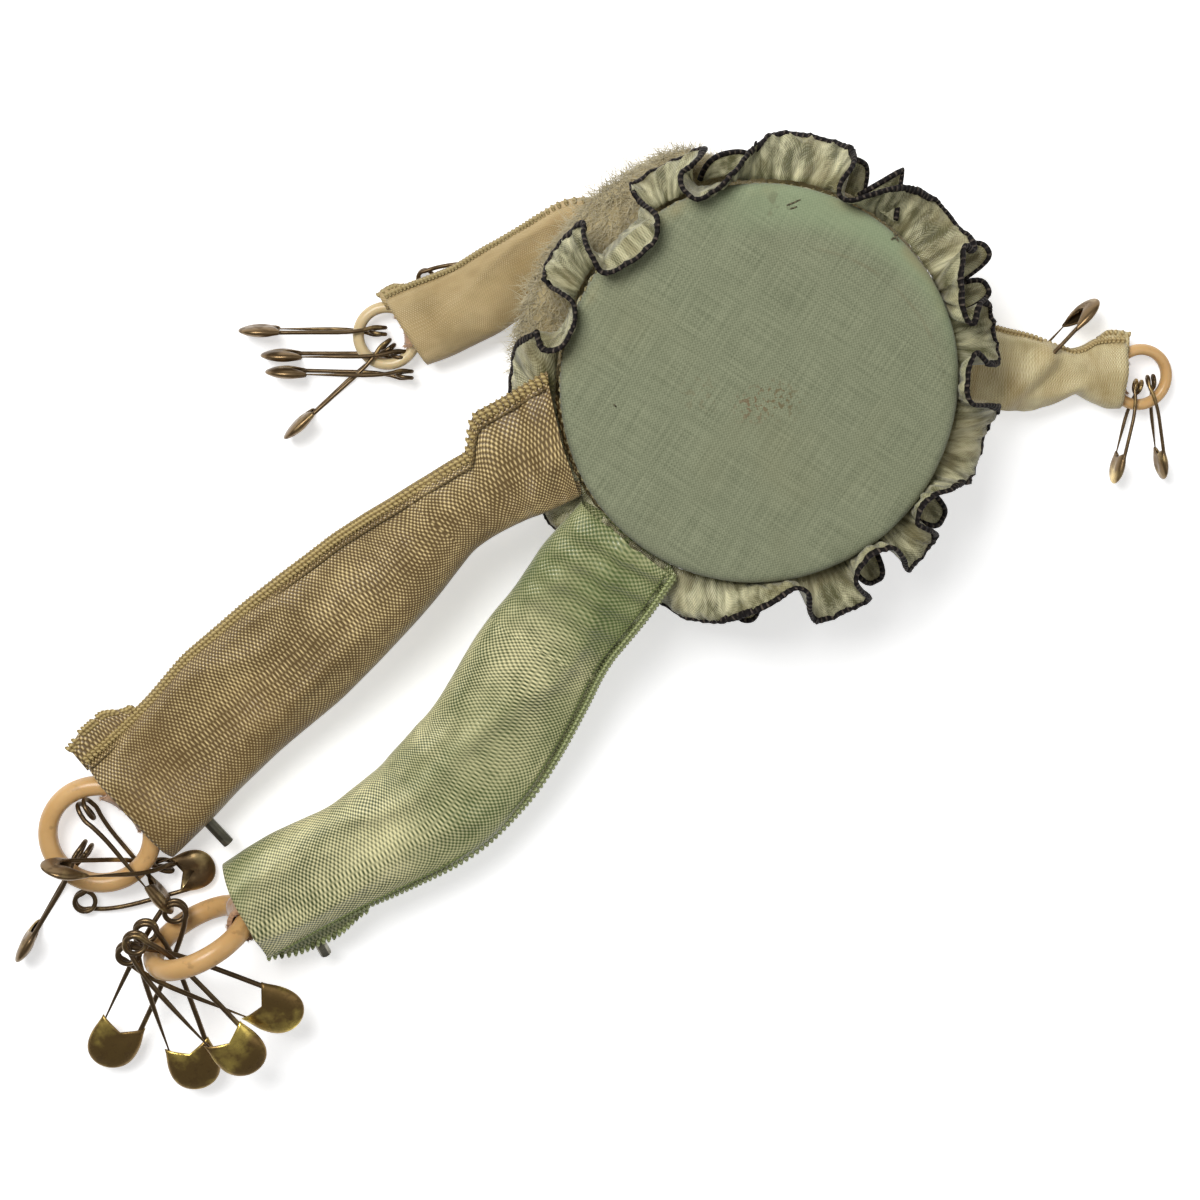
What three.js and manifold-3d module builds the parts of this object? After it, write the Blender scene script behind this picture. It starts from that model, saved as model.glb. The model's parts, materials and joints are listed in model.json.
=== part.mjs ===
// Ribbon pincushion doll lying on its front, back disc up.
// Millimetres, +Z up. The origin is the centre of the flat back face, so the table is at -tableDrop.
import * as THREE from 'three';
import { mergeVertices } from 'three/addons/utils/BufferGeometryUtils.js';
import Module from 'manifold-3d';

const wasm = await Module();
wasm.setup();

const degree = Math.PI / 180;
const clearance = 0.3;

// Body disc
const tableDrop = 30;
const discRadius = 35;
const clothThickness = 0.6;
const cardPlay = 0.8;
const cardRadius = discRadius - clothThickness - cardPlay;
const cardThickness = 1.5;
const coverRimDepth = 4.6;
const coverRimRound = 1.6;
const frontClothThickness = 0.8;
const frontBulge = 1.2;
const domePower = 1.15;
const faceRadius = 20;
const faceClothThickness = 0.7;
const restFlatDepth = 0.5;
const discSteps = 32;

// Ruffle and down round the rim
const ruffleGap = 0.6;
const ruffleWidth = 9.5;
const ruffleThickness = 0.7;
const ruffleFolds = 20;
const ruffleWave = 3.4;
const ruffleCurl = 0.09;
const ruffleScallop = 0.07;
const ruffleSteps = 8;
const ruffleLevel = -5.4;
const ruffleDipUnderLegs = 5.2;
const legSide = 210;
const legSpread = 50;
const legSpreadEdge = 14;
const downLevel = -14.9;
const downHalfHeight = 2.1;
const downWidth = 9.8;
const downExtra = 4.6;
const downSide = 145;
const downSpread = 60;

// Ribbon limbs
const legWidth = 26;
const armWidth = 15.5;
const sleeveWall = 0.8;
const kneeShare = 0.5;
const baseTurnShare = 0.22;
const sectionPoints = 12;
const ribbonSquareness = 0.75;
const ribbonFlatness = 0.8;
const crossbarRadius = 1.1;
const crossbarLength = 21;
const crossbarSetback = 9;
const crossbarReach = 4.5;
const crossbarSides = 10;

// Leg and arm rings
const legRing = { radius: 9.7, radialHalf: 1.8, axialHalf: 2 };
const armRing = { radius: 5.2, radialHalf: 1.05, axialHalf: 1.3 };
const ringSteps = 24;
const ringSides = 8;

// Safety pins, in four sizes
const legPin = {
  wire: 0.5, coil: 2, pitch: 1.45, flare: 1.6, flareLength: 5, barOffset: 5.1,
  capStart: 25, capEnd: 35.5, capHalfWidth: 4.9, capMouthHalf: 4.3, capThickness: 3,
};
const middlePin = {
  wire: 0.45, coil: 1.9, pitch: 1.4, flare: 1.5, flareLength: 4, barOffset: 5,
  capStart: 17.6, capEnd: 25.6, capHalfWidth: 4, capMouthHalf: 3.5, capThickness: 2.7,
};
const armPin = {
  wire: 0.38, coil: 1.35, pitch: 1.2, flare: 1.15, flareLength: 3.5, barOffset: 3.5,
  capStart: 17.6, capEnd: 25.2, capHalfWidth: 3.5, capMouthHalf: 3, capThickness: 2.3,
};
const smallPin = {
  wire: 0.34, coil: 1.2, pitch: 1.1, flare: 1.15, flareLength: 3.2, barOffset: 3.3,
  capStart: 12.6, capEnd: 18.6, capHalfWidth: 2.9, capMouthHalf: 2.5, capThickness: 2,
};
const wireSides = 6;
const coilStepAngle = 45;
const coilTurns = 1.5;
const coilSplit = 35;
const wireOverrun = 0.8;
const capNotch = 2;
const uprightPinSink = 1.6;

function cloth(color, roughness = 0.7) {
  return new THREE.MeshStandardMaterial({ color, roughness, metalness: 0 });
}

const sageCotton = cloth('#a6b297', 0.9);
const paperCard = cloth('#c9b78f', 0.9);
const wadding = cloth('#e8e2d2', 1);
const ivoryGreenSatin = cloth('#cfd0a8', 0.45);
const faceMuslin = cloth('#e6c9a8', 0.9);
const whiteDown = cloth('#d8d8c4', 1);
const goldRibbon = cloth('#bda678', 0.5);
const sageRibbon = cloth('#a9b587', 0.5);
const creamRibbon = cloth('#cdbd93', 0.55);
const beigeFlannel = cloth('#cfa583', 0.95);
const amberPlastic = cloth('#dcb27a', 0.35);
const ivoryPlastic = cloth('#e6d3a8', 0.35);
const pinWire = new THREE.MeshStandardMaterial({ color: '#7a6a48', roughness: 0.35, metalness: 0.9 });
const pinBrass = new THREE.MeshStandardMaterial({ color: '#9a8450', roughness: 0.3, metalness: 0.95 });

function vector(x, y, z) {
  return new THREE.Vector3(x, y, z);
}

// A closed solid through rings of equal count. Open ends get a fan; a closed loop joins its last ring
// to its first.
function skin(rings, loop = false) {
  const count = rings[0].length;
  const positions = rings.flat().flatMap((point) => [point.x, point.y, point.z]);
  const faces = [];
  const joins = loop ? rings.length : rings.length - 1;
  for (let ring = 0; ring < joins; ring += 1) {
    const here = ring * count;
    const next = ((ring + 1) % rings.length) * count;
    for (let side = 0; side < count; side += 1) {
      const turn = (side + 1) % count;
      faces.push(here + side, here + turn, next + turn, here + side, next + turn, next + side);
    }
  }
  if (!loop) {
    const last = (rings.length - 1) * count;
    for (let side = 1; side < count - 1; side += 1) {
      faces.push(0, side + 1, side, last, last + side, last + side + 1);
    }
  }
  return outward(positions, faces);
}

// Turns the faces round where they would point inwards.
function outward(positions, faces) {
  let volume = 0;
  const corner = (index) => vector(...positions.slice(3 * index, 3 * index + 3));
  for (let face = 0; face < faces.length; face += 3) {
    const [a, b, c] = [faces[face], faces[face + 1], faces[face + 2]].map(corner);
    volume += a.dot(b.cross(c));
  }
  if (volume < 0) {
    faces.reverse();
  }
  const geometry = new THREE.BufferGeometry();
  geometry.setAttribute('position', new THREE.Float32BufferAttribute(positions, 3));
  geometry.setIndex(faces);
  geometry.computeVertexNormals();
  return geometry;
}

function toSolid(geometry) {
  const bare = geometry.clone();
  bare.deleteAttribute('normal');
  bare.deleteAttribute('uv');
  const merged = mergeVertices(bare, 1e-4);
  return new wasm.Manifold(new wasm.Mesh({
    numProp: 3,
    vertProperties: new Float32Array(merged.attributes.position.array),
    triVerts: new Uint32Array(merged.index.array),
  }));
}

function fromSolid(solid) {
  const mesh = solid.getMesh();
  const geometry = new THREE.BufferGeometry();
  geometry.setAttribute('position', new THREE.BufferAttribute(mesh.vertProperties, 3));
  geometry.setIndex(new THREE.BufferAttribute(mesh.triVerts, 1));
  geometry.computeVertexNormals();
  return geometry;
}

function cut(geometry, ...tools) {
  return fromSolid(tools.reduce((solid, tool) => solid.subtract(toSolid(tool)), toSolid(geometry)));
}

function mesh(name, geometry, material) {
  const piece = new THREE.Mesh(geometry, material);
  piece.name = name;
  return piece;
}

function block(width, depth, height, x, y, z) {
  return new THREE.BoxGeometry(width, depth, height).translate(x, y, z);
}

// A round wire along points, with frames carried along so that it doesn't twist.
function wire(points, radius, sides = wireSides) {
  const rings = [];
  let up = null;
  points.forEach((point, index) => {
    const before = points[Math.max(index - 1, 0)];
    const after = points[Math.min(index + 1, points.length - 1)];
    const along = after.clone().sub(before).normalize();
    if (!up) {
      up = Math.abs(along.z) < 0.9 ? vector(0, 0, 1) : vector(1, 0, 0);
    }
    const side = along.clone().cross(up).normalize();
    up = side.clone().cross(along).normalize();
    const ring = [];
    for (let step = 0; step < sides; step += 1) {
      const angle = 2 * Math.PI * (step + 0.5) / sides;
      ring.push(point.clone()
        .addScaledVector(side, radius * Math.cos(angle))
        .addScaledVector(up, radius * Math.sin(angle)));
    }
    rings.push(ring);
  });
  return skin(rings);
}

function lathe(profile, steps = discSteps) {
  const turned = new THREE.LatheGeometry(profile.map(([r, z]) => new THREE.Vector2(r, z)), steps)
    .rotateX(Math.PI / 2);
  return outward([...turned.attributes.position.array], [...turned.index.array]);
}

// Depth of the stuffed front at a radius, measured down from the back face.
const rimDepth = coverRimDepth + 2 * clearance;
function frontDepth(radius, inset) {
  const reach = discRadius + frontBulge - inset;
  const share = Math.min(radius / reach, 1);
  const crown = tableDrop + restFlatDepth - inset - rimDepth;
  return -(rimDepth + crown * Math.sqrt(1 - share * share) ** domePower);
}

// Radius of the front cover's outside at a level between its rim and its crown.
function frontRadius(level) {
  const inset = faceClothThickness + clearance;
  const crown = tableDrop + restFlatDepth - inset - rimDepth;
  const share = Math.sqrt(1 - ((-level - rimDepth) / crown) ** (2 / domePower));
  return (discRadius + frontBulge - inset) * share;
}

function domeProfile(inset, outer, floor, steps = 6) {
  const points = [];
  for (let step = 0; step <= steps; step += 1) {
    const radius = outer * Math.sin((step / steps) * Math.PI / 2);
    points.push([radius, Math.max(frontDepth(radius, inset), floor)]);
  }
  return points;
}

function body() {
  const group = new THREE.Group();
  const cardTop = -clothThickness - clearance;
  const cardBottom = cardTop - cardThickness;
  const round = coverRimRound;
  const inner = discRadius - clothThickness;
  const cover = [
    [0, 0], [discRadius - round, 0], [discRadius - 0.3 * round, -0.3 * round], [discRadius, -round],
    [discRadius, -coverRimDepth], [inner, -coverRimDepth], [inner, -round],
    [discRadius - round, -clothThickness], [0, -clothThickness],
  ];
  group.add(mesh('back_cover', lathe(cover), sageCotton));
  const card = [[0, cardTop], [cardRadius, cardTop], [cardRadius, cardBottom], [0, cardBottom]];
  group.add(mesh('back_card', lathe(card), paperCard));

  const faceFloor = -tableDrop;
  const frontFloor = faceFloor + faceClothThickness + clearance;
  const stuffingFloor = frontFloor + frontClothThickness + clearance;
  const clothInset = faceClothThickness + clearance;
  const stuffingInset = clothInset + frontClothThickness + clearance;
  const shellRadius = discRadius + frontBulge - clothInset;
  const stuffingRadius = discRadius + frontBulge - stuffingInset;
  const outerDome = domeProfile(clothInset, shellRadius, frontFloor);
  const innerDome = domeProfile(clothInset + frontClothThickness, shellRadius - frontClothThickness,
    frontFloor + frontClothThickness).reverse();
  group.add(mesh('front_cover', lathe([...outerDome, ...innerDome]), ivoryGreenSatin));

  const stuffing = domeProfile(stuffingInset, stuffingRadius, stuffingFloor);
  const shoulder = cardRadius - 1;
  stuffing.push([shoulder, -rimDepth + 0.2], [shoulder, cardBottom - clearance], [0, cardBottom - clearance]);
  group.add(mesh('stuffing', lathe(stuffing), wadding));

  const faceOuter = domeProfile(0, faceRadius, faceFloor, 5);
  const faceInner = domeProfile(faceClothThickness, faceRadius, faceFloor + faceClothThickness, 5).reverse();
  group.add(mesh('face_patch', lathe([...faceOuter, ...faceInner]), faceMuslin));
  return group;
}

// How far an azimuth is inside a sector, from 0 at its ends to 1 past its soft edge.
function sector(azimuth, middle, half, edge) {
  const away = Math.abs(((azimuth - middle + 540) % 360) - 180);
  const share = Math.min(1, Math.max(0, (half - away) / edge));
  return share * share * (3 - 2 * share);
}

function ruffle() {
  const start = discRadius + ruffleGap;
  const steps = ruffleFolds * ruffleSteps;
  const rings = [];
  for (let step = 0; step < steps; step += 1) {
    const turn = 2 * Math.PI * step / steps;
    const calm = sector(turn / degree, legSide, legSpread, legSpreadEdge);
    const fold = ruffleFolds * turn;
    const point = (share, offset) => {
      const lift = ruffleWave * (1 - 0.75 * calm) * share * Math.sin(fold);
      const twist = ruffleCurl * share * Math.sin(2 * fold) * (1 - calm);
      const radius = start + ruffleWidth * share * (1 - ruffleScallop + ruffleScallop * Math.cos(fold));
      const level = ruffleLevel - ruffleDipUnderLegs * calm * Math.min(1, 0.5 + share) + lift;
      return vector(radius * Math.cos(turn + twist), radius * Math.sin(turn + twist), level + offset);
    };
    rings.push([
      point(0, ruffleThickness / 2), point(0.5, ruffleThickness / 2), point(1, ruffleThickness / 2),
      point(1, -ruffleThickness / 2), point(0.5, -ruffleThickness / 2), point(0, -ruffleThickness / 2),
    ]);
  }
  return mesh('ruffle', skin(rings, true), ivoryGreenSatin);
}

function downCollar() {
  const steps = 36;
  const inner = frontRadius(downLevel) + 2 * clearance;
  const rings = [];
  for (let step = 0; step < steps; step += 1) {
    const azimuth = 360 * step / steps;
    const width = downWidth + downExtra * sector(azimuth, downSide, downSpread, downSpread);
    const ring = [];
    for (let side = 0; side < 8; side += 1) {
      const angle = 2 * Math.PI * side / 8;
      const radius = inner + width / 2 * (1 + Math.cos(angle));
      const level = downLevel + downHalfHeight * Math.sin(angle);
      ring.push(vector(radius * Math.cos(azimuth * degree), radius * Math.sin(azimuth * degree), level));
    }
    rings.push(ring);
  }
  return mesh('down_collar', skin(rings, true), whiteDown);
}

// A limb's centre line, with its side and up directions at a share of its length.
class LimbLine {
  constructor(limb) {
    const azimuth = limb.baseAzimuth * degree;
    const carrier = limb.knee ? discRadius : frontRadius(limb.rootLevel);
    const reach = carrier + limb.rootGap;
    const root = vector(reach * Math.cos(azimuth), reach * Math.sin(azimuth), limb.rootLevel);
    const points = limb.points.map((point) => vector(...point).add(root));
    this.curve = new THREE.CatmullRomCurve3(points, false, 'centripetal');
    this.length = this.curve.getLength();
    this.baseSide = vector(-Math.sin(azimuth), Math.cos(azimuth), 0);
    this.endRoll = limb.endRoll * degree;
  }

  frame(place) {
    const share = Math.min(place, 1);
    const centre = this.curve.getPointAt(share);
    const along = this.curve.getTangentAt(share);
    const across = vector(0, 0, 1).cross(along).normalize();
    const swing = Math.max(0, 1 - share / baseTurnShare);
    const side = across.clone().lerp(this.baseSide, swing).normalize();
    const flat = along.clone().addScaledVector(side, -along.dot(side)).normalize();
    const up = flat.clone().cross(side).normalize();
    const roll = this.endRoll * share ** 3;
    const rolledSide = side.clone().multiplyScalar(Math.cos(roll)).addScaledVector(up, Math.sin(roll));
    const rolledUp = up.clone().multiplyScalar(Math.cos(roll)).addScaledVector(side, -Math.sin(roll));
    return { centre, along, side: rolledSide, up: rolledUp };
  }
}

// A flattened ribbon section: seam is how far its stitched edge stands out on the side of +1 or -1.
function ribbonSection(frame, width, height, seam, seamSide, push = 0) {
  const ring = [];
  for (let step = 0; step < sectionPoints; step += 1) {
    const angle = 2 * Math.PI * step / sectionPoints;
    const cos = Math.cos(angle);
    const sin = Math.sin(angle);
    let x = width / 2 * Math.sign(cos) * Math.abs(cos) ** ribbonSquareness;
    if (cos * seamSide > 0.99) {
      x += seamSide * seam;
    }
    const z = height / 2 * Math.sign(sin) * Math.abs(sin) ** ribbonFlatness;
    ring.push(frame.centre.clone()
      .addScaledVector(frame.side, x)
      .addScaledVector(frame.up, z)
      .addScaledVector(frame.along, push));
  }
  return ring;
}

function mix(values, share) {
  const place = share * (values.length - 1);
  const index = Math.min(Math.floor(place), values.length - 2);
  const part = place - index;
  return values[index] * (1 - part) + values[index + 1] * part;
}

// The ribbon tube between two shares of its line. Its ends are rounded, or it ends in an open mouth.
function sleeveGeometry(limb, from, to, mouth) {
  const { line, widths, heights, seam, seamSide, pocket } = limb;
  const rings = [];
  const size = (share) => [mix(widths, share), mix(heights, share)];
  const roundEnd = (share, inwards) => {
    const [width, height] = size(share);
    const arc = [15, 40, 65].map((angle) => {
      const inset = (height / 2) * (1 - Math.cos((90 - angle) * degree));
      const at = share + inwards * inset / line.length;
      const scale = Math.sin(angle * degree);
      const narrowed = width - height * (1 - scale);
      return ribbonSection(line.frame(at), narrowed, height * scale, seam * scale, seamSide);
    });
    return inwards > 0 ? arc : arc.reverse();
  };
  const reach = mix(heights, from) / 2 / line.length;
  rings.push(...roundEnd(from, 1));
  const endReach = mouth ? 0 : mix(heights, to) / 2 / line.length;
  const spans = mouth ? limb.steps : Math.max(3, Math.round(limb.steps * (to - from)));
  for (let step = 0; step <= spans; step += 1) {
    const share = from + reach + (to - endReach - from - reach) * step / spans;
    const [width, height] = size(share);
    rings.push(ribbonSection(line.frame(share), width, height, seam, seamSide));
  }
  if (mouth) {
    const [width, height] = size(1);
    const wall = 2 * sleeveWall;
    rings.push(ribbonSection(line.frame(1), width - wall, height - wall, 0, seamSide));
    const depth = 1 - pocket / line.length;
    const [innerWidth, innerHeight] = size(depth);
    rings.push(ribbonSection(line.frame(depth), innerWidth - wall, innerHeight - wall, 0, seamSide));
  } else {
    rings.push(...roundEnd(to, -1));
  }
  return skin(rings);
}

// The frame of a ring at a limb's mouth: out is away from the limb, axis is the ring's own axis.
function ringFrame(limb) {
  const end = limb.line.frame(1);
  const heading = limb.ringHeading * degree;
  const rise = limb.ringRise * degree;
  const out = vector(Math.cos(heading) * Math.cos(rise), Math.sin(heading) * Math.cos(rise), Math.sin(rise));
  const level = vector(0, 0, 1).cross(out).normalize();
  const upright = out.clone().cross(level).normalize();
  const roll = limb.ringRoll * degree;
  const axis = upright.clone().multiplyScalar(Math.cos(roll)).addScaledVector(level, Math.sin(roll));
  const across = axis.clone().cross(out).normalize();
  const bar = end.centre.clone().addScaledVector(end.along, -limb.barSetback);
  const centre = bar.clone().addScaledVector(out, limb.ring.radius);
  return { centre, out, across, axis, bar };
}

function ringPoint(frame, radius, angle, lift = 0) {
  return frame.centre.clone()
    .addScaledVector(frame.out, radius * Math.cos(angle))
    .addScaledVector(frame.across, radius * Math.sin(angle))
    .addScaledVector(frame.axis, lift);
}

function ringGeometry(frame, ring) {
  const rings = [];
  for (let step = 0; step < ringSteps; step += 1) {
    const turn = 2 * Math.PI * step / ringSteps;
    const section = [];
    for (let side = 0; side < ringSides; side += 1) {
      const angle = 2 * Math.PI * (side + 0.5) / ringSides;
      section.push(ringPoint(frame, ring.radius + ring.radialHalf * Math.cos(angle), turn,
        ring.axialHalf * Math.sin(angle)));
    }
    rings.push(section);
  }
  return skin(rings, true);
}

// A flannel strip doubled round the ring's bar, its two ends inside the sleeve.
function flannelGeometry(limb, frame) {
  const { ring, flannel } = limb;
  const inner = ring.axialHalf + flannel.play;
  const middle = inner + flannel.thickness / 2;
  const sag = ring.radius - Math.sqrt(ring.radius ** 2 - (flannel.width / 2) ** 2);
  const bend = ring.radialHalf + clearance + sag + flannel.thickness / 2;
  const innerEnd = flannel.innerGap + flannel.thickness / 2;
  const path = [[-flannel.length, innerEnd], [-1, middle]];
  for (let angle = 90; angle >= -90; angle -= 30) {
    path.push([bend + 0.6 * middle * (Math.cos(angle * degree) - 1) + 0.4 * middle,
      middle * Math.sin(angle * degree)]);
  }
  path.push([-1, -middle], [-flannel.length, -innerEnd]);
  const rings = path.map(([x, y], index) => {
    const before = path[Math.max(index - 1, 0)];
    const after = path[Math.min(index + 1, path.length - 1)];
    const length = Math.hypot(after[0] - before[0], after[1] - before[1]);
    const normal = [-(after[1] - before[1]) / length, (after[0] - before[0]) / length];
    const corner = (thick, wide) => frame.bar.clone()
      .addScaledVector(frame.out, x + thick * normal[0])
      .addScaledVector(frame.axis, y + thick * normal[1])
      .addScaledVector(frame.across, wide);
    const thick = flannel.thickness / 2;
    const wide = flannel.width / 2;
    return [corner(thick, wide), corner(-thick, wide), corner(-thick, -wide), corner(thick, -wide)];
  });
  return skin(rings);
}

// Where a safety pin's wire runs: its distance from the pin's middle line.
function wireSpread(pin, u) {
  return pin.coil + pin.flare * (1 - Math.exp(-u / pin.flareLength));
}

function coilPoint(pin, angle) {
  const turned = (-90 - angle) * degree;
  const lift = pin.pitch * (angle / 360 - coilTurns / 2);
  return vector(pin.coil * Math.cos(turned), pin.coil * Math.sin(turned), lift);
}

function armPoints(pin, side) {
  const middle = (pin.capStart + pin.capEnd) / 2;
  const lift = side * pin.pitch * coilTurns / 2;
  const end = middle + wireOverrun;
  const stops = [0.25 * pin.flareLength, 0.7 * pin.flareLength, 1.6 * pin.flareLength, end];
  const lowered = [1, 0.55, 0.1, 0];
  return stops.map((u, index) => vector(u, side * wireSpread(pin, u), lift * lowered[index]));
}

function backWire(pin) {
  const points = armPoints(pin, -1).reverse();
  for (let angle = 0; angle <= 360 * coilTurns - 180; angle += coilStepAngle) {
    points.push(coilPoint(pin, angle));
  }
  return wire(points, pin.wire);
}

function pointWire(pin) {
  const points = [];
  const last = 360 * coilTurns;
  for (let angle = last - 180 + coilSplit; angle < last - 1; angle += (180 - coilSplit) / 3) {
    points.push(coilPoint(pin, angle));
  }
  points.push(coilPoint(pin, last));
  return wire([...points, ...armPoints(pin, 1)], pin.wire);
}

function capGeometry(pin) {
  const { capStart, capEnd, capHalfWidth, capMouthHalf, capThickness } = pin;
  const outline = new THREE.Shape();
  const roundCentre = capEnd - capHalfWidth;
  outline.moveTo(capStart, -capMouthHalf);
  outline.lineTo(roundCentre, -capHalfWidth);
  outline.absarc(roundCentre, 0, capHalfWidth, -Math.PI / 2, Math.PI / 2, false);
  outline.lineTo(capStart, capMouthHalf);
  outline.lineTo(capStart + capNotch, 0);
  const plan = { depth: capThickness, bevelEnabled: false, curveSegments: 7 };
  const plate = new THREE.ExtrudeGeometry(outline, plan).translate(0, 0, -capThickness / 2);
  const room = pin.wire + clearance;
  const wireEnd = (capStart + capEnd) / 2 + wireOverrun + clearance;
  const spread = wireSpread(pin, wireEnd);
  const length = wireEnd - capStart + capNotch;
  const centre = wireEnd - length / 2;
  const backSlot = block(length, 2 * room, 2 * room, centre, -spread, 0);
  const slotInner = spread - room;
  const slotOuter = capHalfWidth + 1;
  const pointSlot = block(length, slotOuter - slotInner, 2 * room, centre, (slotInner + slotOuter) / 2, 0);
  return cut(plate, backSlot, pointSlot);
}

// The placed frame of a pin: u runs from its coil to its cap, v towards its point wire.
function pinGroup(origin, u, v) {
  const group = new THREE.Group();
  const w = u.clone().cross(v).normalize();
  group.quaternion.setFromRotationMatrix(new THREE.Matrix4().makeBasis(u, v, w));
  group.position.copy(origin);
  return group;
}

// A pin on a ring. barAngle is its place on the ring, yaw turns it from the radius and swing lifts its cap.
function ringPin(name, frame, limb, place) {
  const { ring } = limb;
  const pin = place.pin ?? limb.pin;
  const bar = ringPoint(frame, ring.radius, place.barAngle * degree);
  const yaw = (place.barAngle + place.yaw) * degree;
  const level = frame.out.clone().multiplyScalar(Math.cos(yaw)).addScaledVector(frame.across, Math.sin(yaw));
  const swing = place.swing * degree;
  const u = level.clone().multiplyScalar(Math.cos(swing)).addScaledVector(frame.axis, Math.sin(swing));
  const normal = frame.axis.clone().cross(level).normalize();
  const v = normal.clone().cross(u).multiplyScalar(place.pointSide);
  const offset = place.offset ?? pin.barOffset;
  const group = pinGroup(bar.addScaledVector(u, -offset), u, v);
  group.name = name;
  group.add(mesh(`${name}_back_wire`, backWire(pin), pinWire));
  group.add(mesh(`${name}_point_wire`, pointWire(pin), pinWire));
  group.add(mesh(`${name}_cap`, capGeometry(pin), pinBrass));
  return group;
}

// A closed pin that holds a sleeve. It stands upright through the cloth or lies flat under it.
function sleevePin(limb) {
  const { pin, line, name } = limb;
  const { share, across, lift, turn, upright } = limb.sleevePin;
  const frame = line.frame(share);
  const sink = upright ? uprightPinSink : pin.capThickness / 2 + clearance;
  const coil = frame.centre.clone()
    .addScaledVector(frame.side, across * mix(limb.widths, share) / 2)
    .addScaledVector(frame.up, lift * mix(limb.heights, share) / 2 - sink);
  const flat = frame.along.clone().addScaledVector(frame.side, -frame.along.dot(frame.side)).normalize();
  const u = flat.multiplyScalar(Math.cos(turn * degree)).addScaledVector(frame.side, Math.sin(turn * degree));
  const v = upright ? frame.up.clone().negate() : frame.up.clone().cross(u);
  const points = armPoints(pin, -1).reverse();
  for (let angle = 0; angle <= 360 * coilTurns; angle += coilStepAngle) {
    points.push(coilPoint(pin, angle));
  }
  points.push(...armPoints(pin, 1));
  const group = pinGroup(coil, u, v);
  group.add(mesh(`${name}_sleeve_pin_wire`, wire(points, pin.wire), pinWire));
  group.add(mesh(`${name}_sleeve_pin_cap`, capGeometry(pin), pinBrass));
  group.updateMatrix();
  const tunnel = wire(points, pin.wire + clearance).applyMatrix4(group.matrix);
  return { group, tunnel };
}

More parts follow.
